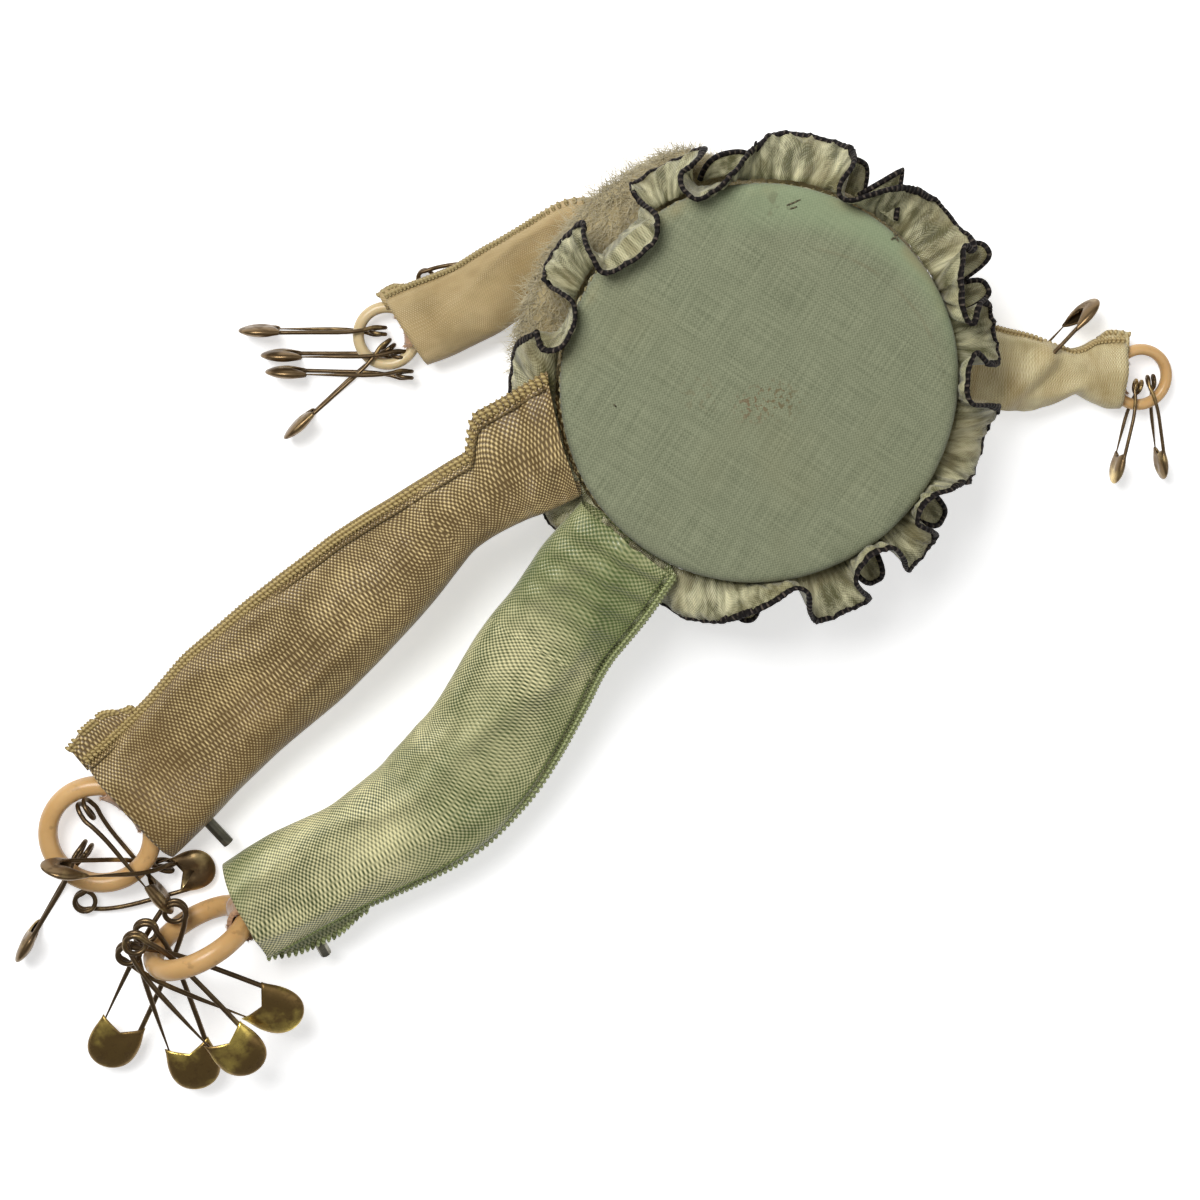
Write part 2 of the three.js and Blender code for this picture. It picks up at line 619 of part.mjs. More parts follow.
// Each limb starts at its root on the rim or on the front, at an azimuth and a level. Its points are
// offsets from there.
const limbs = [
  {
    name: 'left_leg', ribbon: goldRibbon, plastic: amberPlastic, ring: legRing, pin: middlePin,
    points: [[0, 0, 0], [-16.7, -11.3, -4.6], [-29.3, -24.9, -9.6], [-44.1, -38.8, -14.1],
      [-59.3, -52.8, -17.8], [-72.8, -64.9, -20.2], [-80.8, -71.4, -20.8]],
    baseAzimuth: 195, rootLevel: -3.4, rootGap: 0.4, endRoll: 0,
    widths: [23, 25.5, legWidth, legWidth, 27], heights: [5.4, 6, 7, 8.4, 9.6],
    seam: 1.4, seamSide: -1, pocket: 15, steps: 7, knee: true,
    ringHeading: 226, ringRise: -3, ringRoll: 0, barSetback: 1.6,
    flannel: { width: 9, thickness: 0.9, play: 0.5, length: 11, innerGap: 1.6 },
    pins: [
      { barAngle: 92, yaw: -153, swing: 36, pointSide: -1 },
      { barAngle: 6, yaw: 6, swing: 0, pointSide: 1 },
    ],
  },
  {
    name: 'right_leg', ribbon: sageRibbon, plastic: amberPlastic, ring: legRing, pin: legPin,
    points: [[0, 0, 0], [-7.2, -11.7, -4.6], [-14.2, -23, -9.1], [-20.5, -35.2, -12.6],
      [-26.1, -45.4, -14.6], [-34.6, -55.2, -15.1], [-45, -61.8, -14.9], [-57.2, -67.5, -14.8],
      [-70.7, -73.3, -14.6]],
    baseAzimuth: 231, rootLevel: -3.4, rootGap: 0.4, endRoll: -25,
    widths: [21, 24, 25.5, legWidth, 21], heights: [5.4, 6.5, 7, 8, 13],
    seam: 1.4, seamSide: 1, pocket: 15, steps: 9, knee: true,
    ringHeading: 205, ringRise: 0, ringRoll: 98, barSetback: -0.4,
    flannel: { width: 7, thickness: 0.9, play: 0.5, length: 6, innerGap: 1.6 },
    pins: [
      { barAngle: -32, yaw: 32, swing: 102, pointSide: 1, offset: 7 },
      { barAngle: -10, yaw: 10, swing: 128, pointSide: 1 },
      { barAngle: 10, yaw: -10, swing: 80, pointSide: 1 },
      { barAngle: 32, yaw: -32, swing: 40, pointSide: 1, offset: 7 },
    ],
  },
  {
    name: 'left_arm', ribbon: creamRibbon, plastic: ivoryPlastic, ring: armRing, pin: armPin,
    points: [[0, 0, 0], [-7.7, 6.1, -1.6], [-15.7, 3.4, -3], [-28.9, -5.4, -5.8], [-38.4, -11.2, -7.2]],
    baseAzimuth: 141, rootLevel: -19, rootGap: 1.5, endRoll: 0,
    widths: [15, 16.5, 16.5, armWidth, armWidth], heights: [5, 5, 5.2, 6.4, 7.3],
    seam: 1.1, seamSide: -1, pocket: 9, steps: 6, knee: false,
    ringHeading: 196, ringRise: -3, ringRoll: 0, barSetback: 1.4,
    flannel: { width: 5, thickness: 0.5, play: 0.6, length: 6, innerGap: 0.6 },
    pins: [
      { barAngle: -26, yaw: 9, swing: 4.5, pointSide: 1 },
      { barAngle: 42, yaw: -17, swing: 3.5, pointSide: 1 },
    ],
    sleevePin: { share: 0.76, across: -1.06, lift: -0.7, turn: 150, upright: false },
  },
  {
    name: 'right_arm', ribbon: goldRibbon, plastic: amberPlastic, ring: armRing, pin: armPin,
    points: [[0, 0, 0], [8.5, 0.4, -1.6], [18, -0.7, -3], [26, -1.4, -4.6], [34.2, -3.7, -6.4],
      [42.1, -4, -7.2]],
    baseAzimuth: 2, rootLevel: -19, rootGap: 1.5, endRoll: 0,
    widths: [15, 14.8, 14.6, 11, 13], heights: [5, 5.2, 5.8, 6.8, 7.3],
    seam: 1.1, seamSide: 1, pocket: 9, steps: 6, knee: false,
    ringHeading: 2, ringRise: -3, ringRoll: 0, barSetback: 1.4,
    flannel: { width: 5, thickness: 0.5, play: 0.6, length: 6, innerGap: 0.6 },
    pins: [
      { pin: smallPin, barAngle: -58, yaw: -25, swing: 3, pointSide: 1 },
      { pin: smallPin, barAngle: -103, yaw: -2, swing: 3, pointSide: 1 },
    ],
    sleevePin: { share: 0.45, across: -0.78, lift: 1, turn: 49, upright: true },
  },
];

// A straight rod across a leg near its mouth. It stands out of one edge.
function crossbarPoints(limb) {
  const share = 1 - crossbarSetback / limb.line.length;
  const frame = limb.line.frame(share);
  const outer = mix(limb.widths, share) / 2 + crossbarReach;
  return [outer, outer - 0.5 * crossbarLength, outer - crossbarLength].map((across) => (
    frame.centre.clone().addScaledVector(frame.side, across)));
}

function buildLimb(limb) {
  const group = new THREE.Group();
  limb.line = new LimbLine(limb);
  const { line, name, ribbon } = limb;
  if (limb.knee) {
    const gap = clearance / 2 / line.length;
    group.add(mesh(`${name}_upper_sleeve`, sleeveGeometry(limb, 0, kneeShare - gap, false), ribbon));
    const rod = crossbarPoints(limb);
    group.add(mesh(`${name}_crossbar`, wire(rod, crossbarRadius, crossbarSides), pinWire));
    const channel = wire(rod, crossbarRadius + clearance, crossbarSides);
    const lower = sleeveGeometry(limb, kneeShare + gap, 1, true);
    group.add(mesh(`${name}_lower_sleeve`, cut(lower, channel), ribbon));
  } else {
    const fastener = sleevePin(limb);
    group.add(fastener.group);
    group.add(mesh(`${name}_sleeve`, cut(sleeveGeometry(limb, 0, 1, true), fastener.tunnel), ribbon));
  }
  const frame = ringFrame(limb);
  group.add(mesh(`${name}_flannel`, flannelGeometry(limb, frame), beigeFlannel));
  group.add(mesh(`${name}_ring`, ringGeometry(frame, limb.ring), limb.plastic));
  limb.pins.forEach((place, index) => {
    group.add(ringPin(`${name}_pin_${index + 1}`, frame, limb, place));
  });
  return group;
}

const group = new THREE.Group();
group.add(body());
group.add(ruffle());
group.add(downCollar());
limbs.forEach((limb) => group.add(buildLimb(limb)));

export default group;
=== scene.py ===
"""Dresses a ribbon pincushion doll that lies on its front with its flat back up.

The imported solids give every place. This script adds the cloth, down, ribbon, thread, plastic and pin wire
over them. Sizes in the classes are millimetres, and they become metres when a mesh is made.
"""
from __future__ import annotations

import json
import logging
import math
import random
from dataclasses import dataclass, field
from enum import Enum
from typing import Callable, Sequence

import bpy
from mathutils import Matrix, Vector, noise


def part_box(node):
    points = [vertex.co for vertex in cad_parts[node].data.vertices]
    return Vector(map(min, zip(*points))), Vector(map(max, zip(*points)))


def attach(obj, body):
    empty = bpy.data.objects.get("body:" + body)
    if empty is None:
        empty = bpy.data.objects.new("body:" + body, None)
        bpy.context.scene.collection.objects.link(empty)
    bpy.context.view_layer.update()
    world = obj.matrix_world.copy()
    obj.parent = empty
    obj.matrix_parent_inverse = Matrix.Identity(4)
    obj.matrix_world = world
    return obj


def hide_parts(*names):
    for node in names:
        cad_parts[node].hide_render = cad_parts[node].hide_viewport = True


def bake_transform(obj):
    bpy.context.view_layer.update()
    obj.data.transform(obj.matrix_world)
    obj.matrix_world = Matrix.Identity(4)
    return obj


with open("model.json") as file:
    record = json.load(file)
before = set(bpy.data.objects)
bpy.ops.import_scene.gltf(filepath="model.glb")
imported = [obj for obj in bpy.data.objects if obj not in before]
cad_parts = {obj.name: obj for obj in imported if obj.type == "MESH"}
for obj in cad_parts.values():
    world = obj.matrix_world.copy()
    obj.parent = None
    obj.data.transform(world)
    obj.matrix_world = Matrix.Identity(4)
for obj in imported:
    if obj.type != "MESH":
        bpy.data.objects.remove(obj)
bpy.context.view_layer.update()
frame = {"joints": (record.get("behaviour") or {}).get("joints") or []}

MM = 0.001
Z = Vector((0, 0, 1))
log = logging.getLogger("doll")


# Shader nodes

def linear(red: float, green: float, blue: float) -> tuple[float, float, float, float]:
    """Turns a colour as seen, 0 to 255, into the shader's linear colour."""
    parts = [value / 255 for value in (red, green, blue)]
    return tuple(p / 12.92 if p <= 0.04045 else ((p + 0.055) / 1.055) ** 2.4 for p in parts) + (1.0,)


class Signal:
    """A node's output socket. Arithmetic on it adds Math nodes."""

    def __init__(self, maker: Maker, socket: bpy.types.NodeSocket) -> None:
        """Wraps one socket of the maker's node tree."""
        self.maker = maker
        self.socket = socket

    def _math(self, operation: str, *values: Signal | float) -> Signal:
        """Adds a Math node on the values, in their order."""
        return self.maker.node("ShaderNodeMath", {"operation": operation}, dict(enumerate(values)))

    def __add__(self, other: Signal | float) -> Signal:
        """Sum."""
        return self._math("ADD", self, other)

    __radd__ = __add__

    def __sub__(self, other: Signal | float) -> Signal:
        """Difference."""
        return self._math("SUBTRACT", self, other)

    def __rsub__(self, other: float) -> Signal:
        """Difference from a number."""
        return self._math("SUBTRACT", other, self)

    def __mul__(self, other: Signal | float) -> Signal:
        """Product."""
        return self._math("MULTIPLY", self, other)

    __rmul__ = __mul__

    def __truediv__(self, other: Signal | float) -> Signal:
        """Quotient."""
        return self._math("DIVIDE", self, other)

    def __pow__(self, power: float) -> Signal:
        """Power of the value's size, so that it stays real."""
        return self._math("POWER", self.absolute(), power)

    def absolute(self) -> Signal:
        """Size of the value."""
        return self._math("ABSOLUTE", self)

    def sine(self) -> Signal:
        """Sine of the value in radians."""
        return self._math("SINE", self)

    def over(self, limit: float, soft: float = 0.1) -> Signal:
        """A mask that rises from 0 to 1 as the value passes the limit.

        Args:
            limit: the value where the mask starts.
            soft: how far past it the mask reaches 1.

        Returns:
            The mask.
        """
        return self.maker.node("ShaderNodeMapRange", {"interpolation_type": "SMOOTHSTEP"},
                               {"Value": self, "From Min": limit, "From Max": limit + soft})


class Maker:
    """Makes one material and its nodes."""

    def __init__(self, name: str) -> None:
        """Starts a material with one Principled shader.

        Args:
            name: the material's name.
        """
        self.material = bpy.data.materials.new(name)
        self.material.use_nodes = True
        self.tree = self.material.node_tree
        self.tree.nodes.clear()
        self.output = self.tree.nodes.new("ShaderNodeOutputMaterial")

    def node(self, kind: str, settings: dict | None = None, inputs: dict | None = None,
             output: int | str = 0) -> Signal:
        """Adds a node.

        Args:
            kind: the node's type.
            settings: its properties, set first.
            inputs: a value or a Signal for each socket, by name or number.
            output: the output socket that is wanted.

        Returns:
            That output.
        """
        made = self.tree.nodes.new(kind)
        for key, value in (settings or {}).items():
            setattr(made, key, value)
        for key, value in (inputs or {}).items():
            if isinstance(value, Signal):
                self.tree.links.new(value.socket, made.inputs[key])
            else:
                made.inputs[key].default_value = value
        return Signal(self, made.outputs[output])

    def place(self) -> Signal:
        """The point on the piece, in metres."""
        return self.node("ShaderNodeTexCoord", output="Object")

    def cloth_axes(self) -> tuple[Signal, Signal]:
        """How far along and across the cloth a point is, in mm, from the piece's own map."""
        both = self.node("ShaderNodeUVMap", {"uv_map": "cloth"})
        return self.split(both)[:2]

    def split(self, vector: Signal) -> tuple[Signal, Signal, Signal]:
        """The three numbers of a vector.

        Args:
            vector: what is taken apart.

        Returns:
            Its three numbers.
        """
        made = self.node("ShaderNodeSeparateXYZ", inputs={0: vector})
        outputs = made.socket.node.outputs
        return tuple(Signal(self, outputs[index]) for index in range(3))

    def join(self, x: Signal | float, y: Signal | float, z: Signal | float = 0.0) -> Signal:
        """A vector of three numbers."""
        return self.node("ShaderNodeCombineXYZ", inputs={0: x, 1: y, 2: z})

    def noise(self, where: Signal, scale: float, detail: float = 3.0, rough: float = 0.5) -> Signal:
        """Noise between 0 and 1 at a place."""
        return self.node("ShaderNodeTexNoise", inputs={
            "Vector": where, "Scale": scale, "Detail": detail, "Roughness": rough})

    def mix(self, factor: Signal | float, first: Signal | tuple, second: Signal | tuple) -> Signal:
        """Mixes two colours, from the first at 0 to the second at 1."""
        return self.node("ShaderNodeMix", {"data_type": "RGBA"}, {0: factor, 6: first, 7: second}, output=2)

    def bump(self, height: Signal, strength: float, depth_mm: float,
             under: Signal | None = None) -> Signal:
        """A Bump node's normal.

        Args:
            height: the height, 0 to 1.
            strength: how much of it shows.
            depth_mm: how deep 1 is.
            under: another bump below this one.

        Returns:
            The normal.
        """
        inputs = {"Height": height, "Strength": strength, "Distance": depth_mm * MM}
        if under is not None:
            inputs["Normal"] = under
        return self.node("ShaderNodeBump", inputs=inputs)

    def finish(self, colour: Signal | tuple, roughness: Signal | float, normal: Signal | None = None,
               metallic: Signal | float = 0.0, **constants: float | tuple) -> bpy.types.Material:
        """Adds the Principled shader and ends the material.

        Args:
            colour: base colour.
            roughness: roughness.
            normal: the bumped normal, if any.
            metallic: metallic.
            **constants: other sockets' fixed values, with underscores for spaces.

        Returns:
            The material.
        """
        inputs = {"Base Color": colour, "Roughness": roughness, "Metallic": metallic}
        if normal is not None:
            inputs["Normal"] = normal
        inputs.update({key.replace("_", " "): value for key, value in constants.items()})
        shader = self.node("ShaderNodeBsdfPrincipled", inputs=inputs)
        self.tree.links.new(shader.socket, self.output.inputs["Surface"])
        return self.material

    def weave(self, along: Signal, across: Signal, pitch: float) -> Signal:
        """Height of a plain weave, 0 to 1, with dots in staggered rows.

        Args:
            along: mm along the cloth.
            across: mm across it.
            pitch: mm from one dot to the next in a row.

        Returns:
            The height.
        """
        turn = 2 * math.pi / pitch
        return (along * turn).sine() * (across * turn).sine() * 0.5 + 0.5


# Finishes

@dataclass(frozen=True)
class BackCotton:
    """Pale sage cotton with slubs that run on the bias, and old marks."""

    name: str = "sage_cotton"
    pale: tuple = (160, 164, 134)
    deep: tuple = (92, 98, 74)
    mint: tuple = (150, 168, 130)
    stain: tuple = (112, 92, 62)
    bias: float = 57.0
    pitch: float = 0.62

    def build(self) -> bpy.types.Material:
        """Makes the material.

        Returns:
            The material.
        """
        maker = Maker(self.name)
        place = maker.place()
        x, y, _ = maker.split(place)
        cos, sin = math.cos(math.radians(self.bias)) / MM, math.sin(math.radians(self.bias)) / MM
        warp = x * cos + y * sin
        weft = y * cos - x * sin
        threads = maker.weave(warp, weft, self.pitch)
        slub_warp = maker.noise(maker.join(warp * 0.09, weft * 3.4), 1.0, 2.0, 0.6)
        slub_weft = maker.noise(maker.join(warp * 3.0, weft * 0.1, 9.0), 1.0, 2.0, 0.6)
        slubs = slub_warp * 0.6 + slub_weft * 0.5
        light = slubs * 1.4 + threads * 0.46 - 0.5
        cloth = maker.mix(light, linear(*self.deep), linear(*self.pale))
        radius = ((x - 0.004) ** 2 + (y + 0.004) ** 2) ** 0.5 / MM
        edge = radius.over(29.5, 5.0)
        corner = (x + y).over(0.012, 0.03) * edge
        cloth = maker.mix(corner * 0.5, cloth, linear(*self.mint))
        ring = 1 - (radius - 28.6).absolute().over(0.0, 0.55)
        ring = ring * (x + y).over(0.031, 0.005)
        arc = ring * maker.noise(place, 190.0).over(0.42, 0.2)
        cloth = maker.mix(arc * 0.22, cloth, linear(*self.stain))
        near_rim = ((x * x + y * y) ** 0.5 / MM).over(32.4, 2.2)
        grime = near_rim * maker.noise(place, 70.0, 4.0).over(0.45, 0.2) * y.over(0.0, 0.02)
        cloth = maker.mix(grime * 0.45, cloth, linear(150, 132, 92))
        for middle, tint in (((-1.6, -3.0), (116, 84, 58)), ((2.0, -1.8), self.stain),
                             ((4.4, -2.6), (108, 98, 68))):
            cloth = maker.mix(self._spot(maker, place, *middle, 3.6, 1100.0), cloth, linear(*tint))
        faint = self._spot(maker, place, -11.0, -1.0, 4.0, 900.0) * 0.4
        cloth = maker.mix(faint, cloth, linear(*self.stain))
        cloth = maker.mix(self._spot(maker, place, 2.0, 31.6, 3.0, 420.0) * 0.6, cloth, linear(96, 84, 60))
        cloth = maker.mix(maker.noise(place, 34.0, 3.0).over(0.5, 0.3) * 0.22, cloth, linear(150, 144, 108))
        bump = maker.bump(slubs * 0.6 + threads * 0.4, 0.5, 0.12)
        bump = maker.bump(ring * 0.5 + maker.noise(place, 60.0) * 0.4, 0.35, 0.5, bump)
        return maker.finish(cloth, 0.92, bump, Sheen_Weight=0.15, Specular_IOR_Level=0.25)

    @staticmethod
    def _spot(maker: Maker, place: Signal, x: float, y: float, size: float, grain: float) -> Signal:
        """A mask of small broken specks round a point on the back, in mm.

        Args:
            maker: what makes the nodes.
            place: the place, in metres.
            x, y: the middle, in mm.
            size: its radius, in mm.
            grain: how fine it is.

        Returns:
            The mask, from 0 to 0.6.
        """
        px, py, _ = maker.split(place)
        away = ((px / MM - x) ** 2 + (py / MM - y) ** 2) ** 0.5
        return (1 - away.over(size * 0.3, size)) * maker.noise(place, grain, 2.0).over(0.53, 0.1) * 0.6


@dataclass(frozen=True)
class Satin:
    """Aged ribbon satin with a dot weave, painted fold shade and highlights, and painted glints on its dots.
    Colour drifts along it where it is stained.
    """

    name: str
    pale: tuple
    deep: tuple
    stain: tuple
    pitch: float = 0.8
    shine: float = 0.3
    dots: float = 0.85
    stain_share: float = 0.6
    drift: float = 26.0
    # fold_scale and contrast size the painted fold shade and highlights.
    fold_scale: float = 1.0
    contrast: float = 0.9
    depth: float = 0.0
    ribs: float = 0.0
    rib_pitch: float = 0.9
    root_shade: float = 0.0

    def build(self) -> bpy.types.Material:
        """Makes the material.

        Returns:
            The material.
        """
        maker = Maker(self.name)
        along, across = maker.cloth_axes()
        place = maker.place()
        wander = maker.noise(maker.join(along * 0.08, across * 0.08), 1.0, 2.0) * 1.6
        dots = maker.weave(along + wander, across * 0.9 + wander, self.pitch) ** 1.3
        # Painted shade and highlights: the folds noise darkens and lightens the colour in broad streaks, as
        # strongly as contrast says.
        folds = maker.noise(maker.join(along * (0.07 * self.fold_scale), across * 0.16, 3.0), 1.0, 3.0, 0.6)
        uneven = maker.noise(maker.join(along * 0.5, across * 0.5), 1.0, 2.0)
        # The dots' pale colour is partly the weave's own pattern and partly painted glints.
        light = dots * (uneven * 0.6 + 0.65) * self.dots + folds * self.contrast
        light = light - self.contrast / 3 - self.depth
        if self.ribs:
            light = light + (along * (2 * math.pi / self.rib_pitch)).sine() * self.ribs * uneven
        cloth = maker.mix(light, linear(*self.deep), linear(*self.pale))
        patches = maker.noise(place, self.drift, 3.0, 0.5).over(0.42, 0.22)
        cloth = maker.mix(patches * self.stain_share, cloth, linear(*self.stain))
        if self.root_shade:
            cloth = maker.mix((1 - along.over(14, 16)) * self.root_shade, cloth, linear(*self.stain))
        fine = maker.noise(maker.join(along * 0.6, across * 6.0), 1.0, 2.0)
        bump = maker.bump(dots, 0.8, 0.12)
        bump = maker.bump(fine, 0.18, 0.12, bump)
        roughness = self.shine + (1 - dots) * 0.3
        return maker.finish(cloth, roughness, bump, Sheen_Weight=0.2, Sheen_Roughness=0.4,
                            Specular_IOR_Level=0.6)


@dataclass(frozen=True)
class StitchedThread:
    """Twisted thread, with its strands across a stitched edge."""

    name: str
    pale: tuple
    deep: tuple
    pitch: float = 0.8
    roughness: float = 0.6

    def build(self) -> bpy.types.Material:
        """Makes the material.

        Returns:
            The material.
        """
        maker = Maker(self.name)
        along, across = maker.cloth_axes()
        twist = ((along + across * 0.8) * (2 * math.pi / self.pitch)).sine() * 0.5 + 0.5
        uneven = maker.noise(maker.join(along * 0.9, across * 0.9), 1.0, 2.0)
        colour = maker.mix(twist * 0.75 + uneven * 0.5 - 0.2, linear(*self.deep), linear(*self.pale))
        return maker.finish(colour, self.roughness, maker.bump(twist, 0.6, 0.15), Specular_IOR_Level=0.4)


@dataclass(frozen=True)
class LadderEdge:
    """The ruffle's dark picot edge: near-black cord with paler rungs."""

    name: str = "dark_edge"
    dark: tuple = (20, 15, 15)
    rung: tuple = (98, 88, 78)
    pitch: float = 1.15

    def build(self) -> bpy.types.Material:
        """Makes the material.

        Returns:
            The material.
        """
        maker = Maker(self.name)
        along, across = maker.cloth_axes()
        beat = (along * (2 * math.pi / self.pitch)).sine()
        wear = maker.noise(maker.join(along * 0.8, across), 1.0, 2.0).over(0.35, 0.25)
        colour = maker.mix(beat.over(0.4, 0.35) * wear * 0.75, linear(*self.dark), linear(*self.rung))
        return maker.finish(colour, 0.7, maker.bump(beat * 0.5 + 0.5, 0.7, 0.25), Specular_IOR_Level=0.2)


@dataclass(frozen=True)
class SoftHair:
    """Down, flannel nap or wadding: matt, with a soft sheen."""

    name: str
    pale: tuple
    deep: tuple
    grain: float = 260.0

    def build(self) -> bpy.types.Material:
        """Makes the material.

        Returns:
            The material.
        """
        maker = Maker(self.name)
        place = maker.place()
        light = maker.noise(place, self.grain, 3.0) * 0.7 + maker.noise(place, 45.0, 2.0) * 0.6 - 0.15
        colour = maker.mix(light, linear(*self.deep), linear(*self.pale))
        bump = maker.bump(maker.noise(place, self.grain * 3, 3.0), 0.6, 0.3)
        return maker.finish(colour, 0.95, bump, Sheen_Weight=0.5, Specular_IOR_Level=0.2)


@dataclass(frozen=True)
class RingPlastic:
    """Old casein-like plastic, waxy, with fine streaks and grime."""

    name: str
    pale: tuple
    deep: tuple

    def build(self) -> bpy.types.Material:
        """Makes the material.

        Returns:
            The material.
        """
        maker = Maker(self.name)
        place = maker.place()
        streaks = maker.noise(place, 90.0, 4.0, 0.6)
        grime = maker.noise(place, 420.0, 3.0).over(0.6, 0.12)
        colour = maker.mix(streaks * 1.3 - 0.2, linear(*self.deep), linear(*self.pale))
        colour = maker.mix(grime * 0.3, colour, linear(120, 86, 50))
        bump = maker.bump(maker.noise(place, 300.0, 3.0), 0.12, 0.2)
        return maker.finish(colour, 0.26 + streaks * 0.14, bump, Subsurface_Weight=0.15,
                            Subsurface_Radius=(1.0, 0.6, 0.3), Subsurface_Scale=0.002,
                            Specular_IOR_Level=0.5)


@dataclass(frozen=True)
class TarnishedMetal:
    """Brass plating that has gone bronze-brown, with bright patches that are partly worn metal and partly
    painted reflections.
    """

    name: str
    bright: tuple
    dark: tuple
    # wear sets how much shows the bright patches of worn metal and painted reflections.
    wear: float = 0.5

    def build(self) -> bpy.types.Material:
        """Makes the material.

        Returns:
            The material.
        """
        maker = Maker(self.name)
        place = maker.place()
        # Painted reflections: the bright patches are partly worn plating and partly painted highlights.
        patches = maker.noise(place, 150.0, 4.0, 0.6).over(1 - self.wear, 0.25)
        specks = maker.noise(place, 600.0, 3.0).over(0.5, 0.15)
        colour = maker.mix(patches, linear(*self.dark), linear(*self.bright))
        colour = maker.mix(specks * 0.35, colour, linear(70, 52, 34))
        roughness = 0.34 - patches * 0.12 + specks * 0.2
        bump = maker.bump(maker.noise(place, 700.0, 3.0), 0.12, 0.1)
        bump = maker.bump(maker.noise(place, 210.0, 1.0), 0.5, 0.5, bump)
        return maker.finish(colour, roughness, bump, metallic=0.86)


@dataclass(frozen=True)
class FaceMuslin:
    """Plain muslin with a soft blush on both cheeks."""

    name: str = "muslin"
    pale: tuple = (233, 208, 178)
    deep: tuple = (196, 164, 132)
    blush: tuple = (214, 138, 118)
    cheek: tuple = (9.0, -3.0)

    def build(self) -> bpy.types.Material:
        """Makes the material.

        Returns:
            The material.
        """
        maker = Maker(self.name)
        place = maker.place()
        x, y = maker.cloth_axes()
        threads = maker.weave(x, y, 0.55)
        colour = maker.mix(threads * 0.3 + maker.noise(place, 60.0) * 0.9 - 0.1, linear(*self.deep),
                           linear(*self.pale))
        away = ((x.absolute() - self.cheek[0]) ** 2 + (y - self.cheek[1]) ** 2) ** 0.5
        colour = maker.mix((1 - away.over(0.5, 4.5)) * 0.5, colour, linear(*self.blush))
        return maker.finish(colour, 0.9, maker.bump(threads, 0.4, 0.1), Specular_IOR_Level=0.25)


@dataclass(frozen=True)
class Paper:
    """Card: matt with a faint tooth."""

    name: str
    colour: tuple
    grain: float = 400.0

    def build(self) -> bpy.types.Material:
        """Makes the material.

        Returns:
            The material.
        """
        maker = Maker(self.name)
        tooth = maker.noise(maker.place(), self.grain, 2.0)
        shade = tuple(value * 0.94 for value in self.colour)
        colour = maker.mix(tooth, linear(*shade), linear(*self.colour))
        return maker.finish(colour, 0.9, maker.bump(tooth, 0.1, 0.1), Specular_IOR_Level=0.1)


# Meshes

def lerp(first: float, last: float, share: float) -> float:
    """Value at a share of the way from first to last."""
    return first + (last - first) * share


def ease(value: float) -> float:
    """Smooth step of a value held to 0..1."""
    share = min(1.0, max(0.0, value))
    return share * share * (3 - 2 * share)


def along_list(values: Sequence[float], share: float) -> float:
    """Value at a share of the way through evenly spaced ones.

    Args:
        values: the spaced values.
        share: from 0 to 1.

    Returns:
        The value there.
    """
    place = min(max(share, 0.0), 1.0) * (len(values) - 1)
    index = min(int(place), len(values) - 2)
    return lerp(values[index], values[index + 1], place - index)


def between(rows: Sequence[Sequence[float]], share: float, column: int) -> float:
    """A column's value at a share, from rows whose first value is their own share.

    Args:
        rows: rows, by share.
        share: the share wanted.
        column: its number in a row.

    Returns:
        The value there.
    """
    for low, high in zip(rows, rows[1:]):
        if share <= high[0]:
            part = min(max((share - low[0]) / (high[0] - low[0]), 0.0), 1.0)
            return lerp(low[column], high[column], part)
    return rows[-1][column]


def polar(azimuth: float, radius: float, level: float) -> Vector:
    """Point at an azimuth in degrees, a radius and a level, in mm."""
    angle = math.radians(azimuth)
    return Vector((radius * math.cos(angle), radius * math.sin(angle), level))


def rough(x: float, y: float, seed: float = 0.0) -> float:
    """Smooth noise between about -1 and 1."""
    return noise.noise(Vector((x, y, seed)))


def circle(count: int) -> list[tuple[float, float]]:
    """Cosine and sine of evenly spaced angles of one turn."""
    angles = [2 * math.pi * k / count for k in range(count)]
    return [(math.cos(angle), math.sin(angle)) for angle in angles]


def even(step: float, count: int) -> list[float]:
    """Values at even steps from 0."""
    return [k * step for k in range(count)]


def smooth_path(points: Sequence[Vector], steps: int) -> list[Vector]:
    """A centripetal curve through points.

    Args:
        points: at least two points.
        steps: points made for each span.

    Returns:
        The dense points.
    """
    ends = [points[0] * 2 - points[1], *points, points[-1] * 2 - points[-2]]
    made = []
    for a, b, c, d in zip(ends, ends[1:], ends[2:], ends[3:]):
        before, here, after = (max((q - p).length, 1e-6) ** 0.5 for p, q in ((a, b), (b, c), (c, d)))
        start = ((b - a) / before - (c - a) / (before + here) + (c - b) / here) * here
        stop = ((c - b) / here - (d - b) / (here + after) + (d - c) / after) * here
        for step in range(steps):
            t = step / steps
            cubic = b * (2 * t ** 3 - 3 * t * t + 1) + start * (t ** 3 - 2 * t * t + t)
            made.append(cubic + c * (3 * t * t - 2 * t ** 3) + stop * (t ** 3 - t * t))
    return [*made, points[-1].copy()]


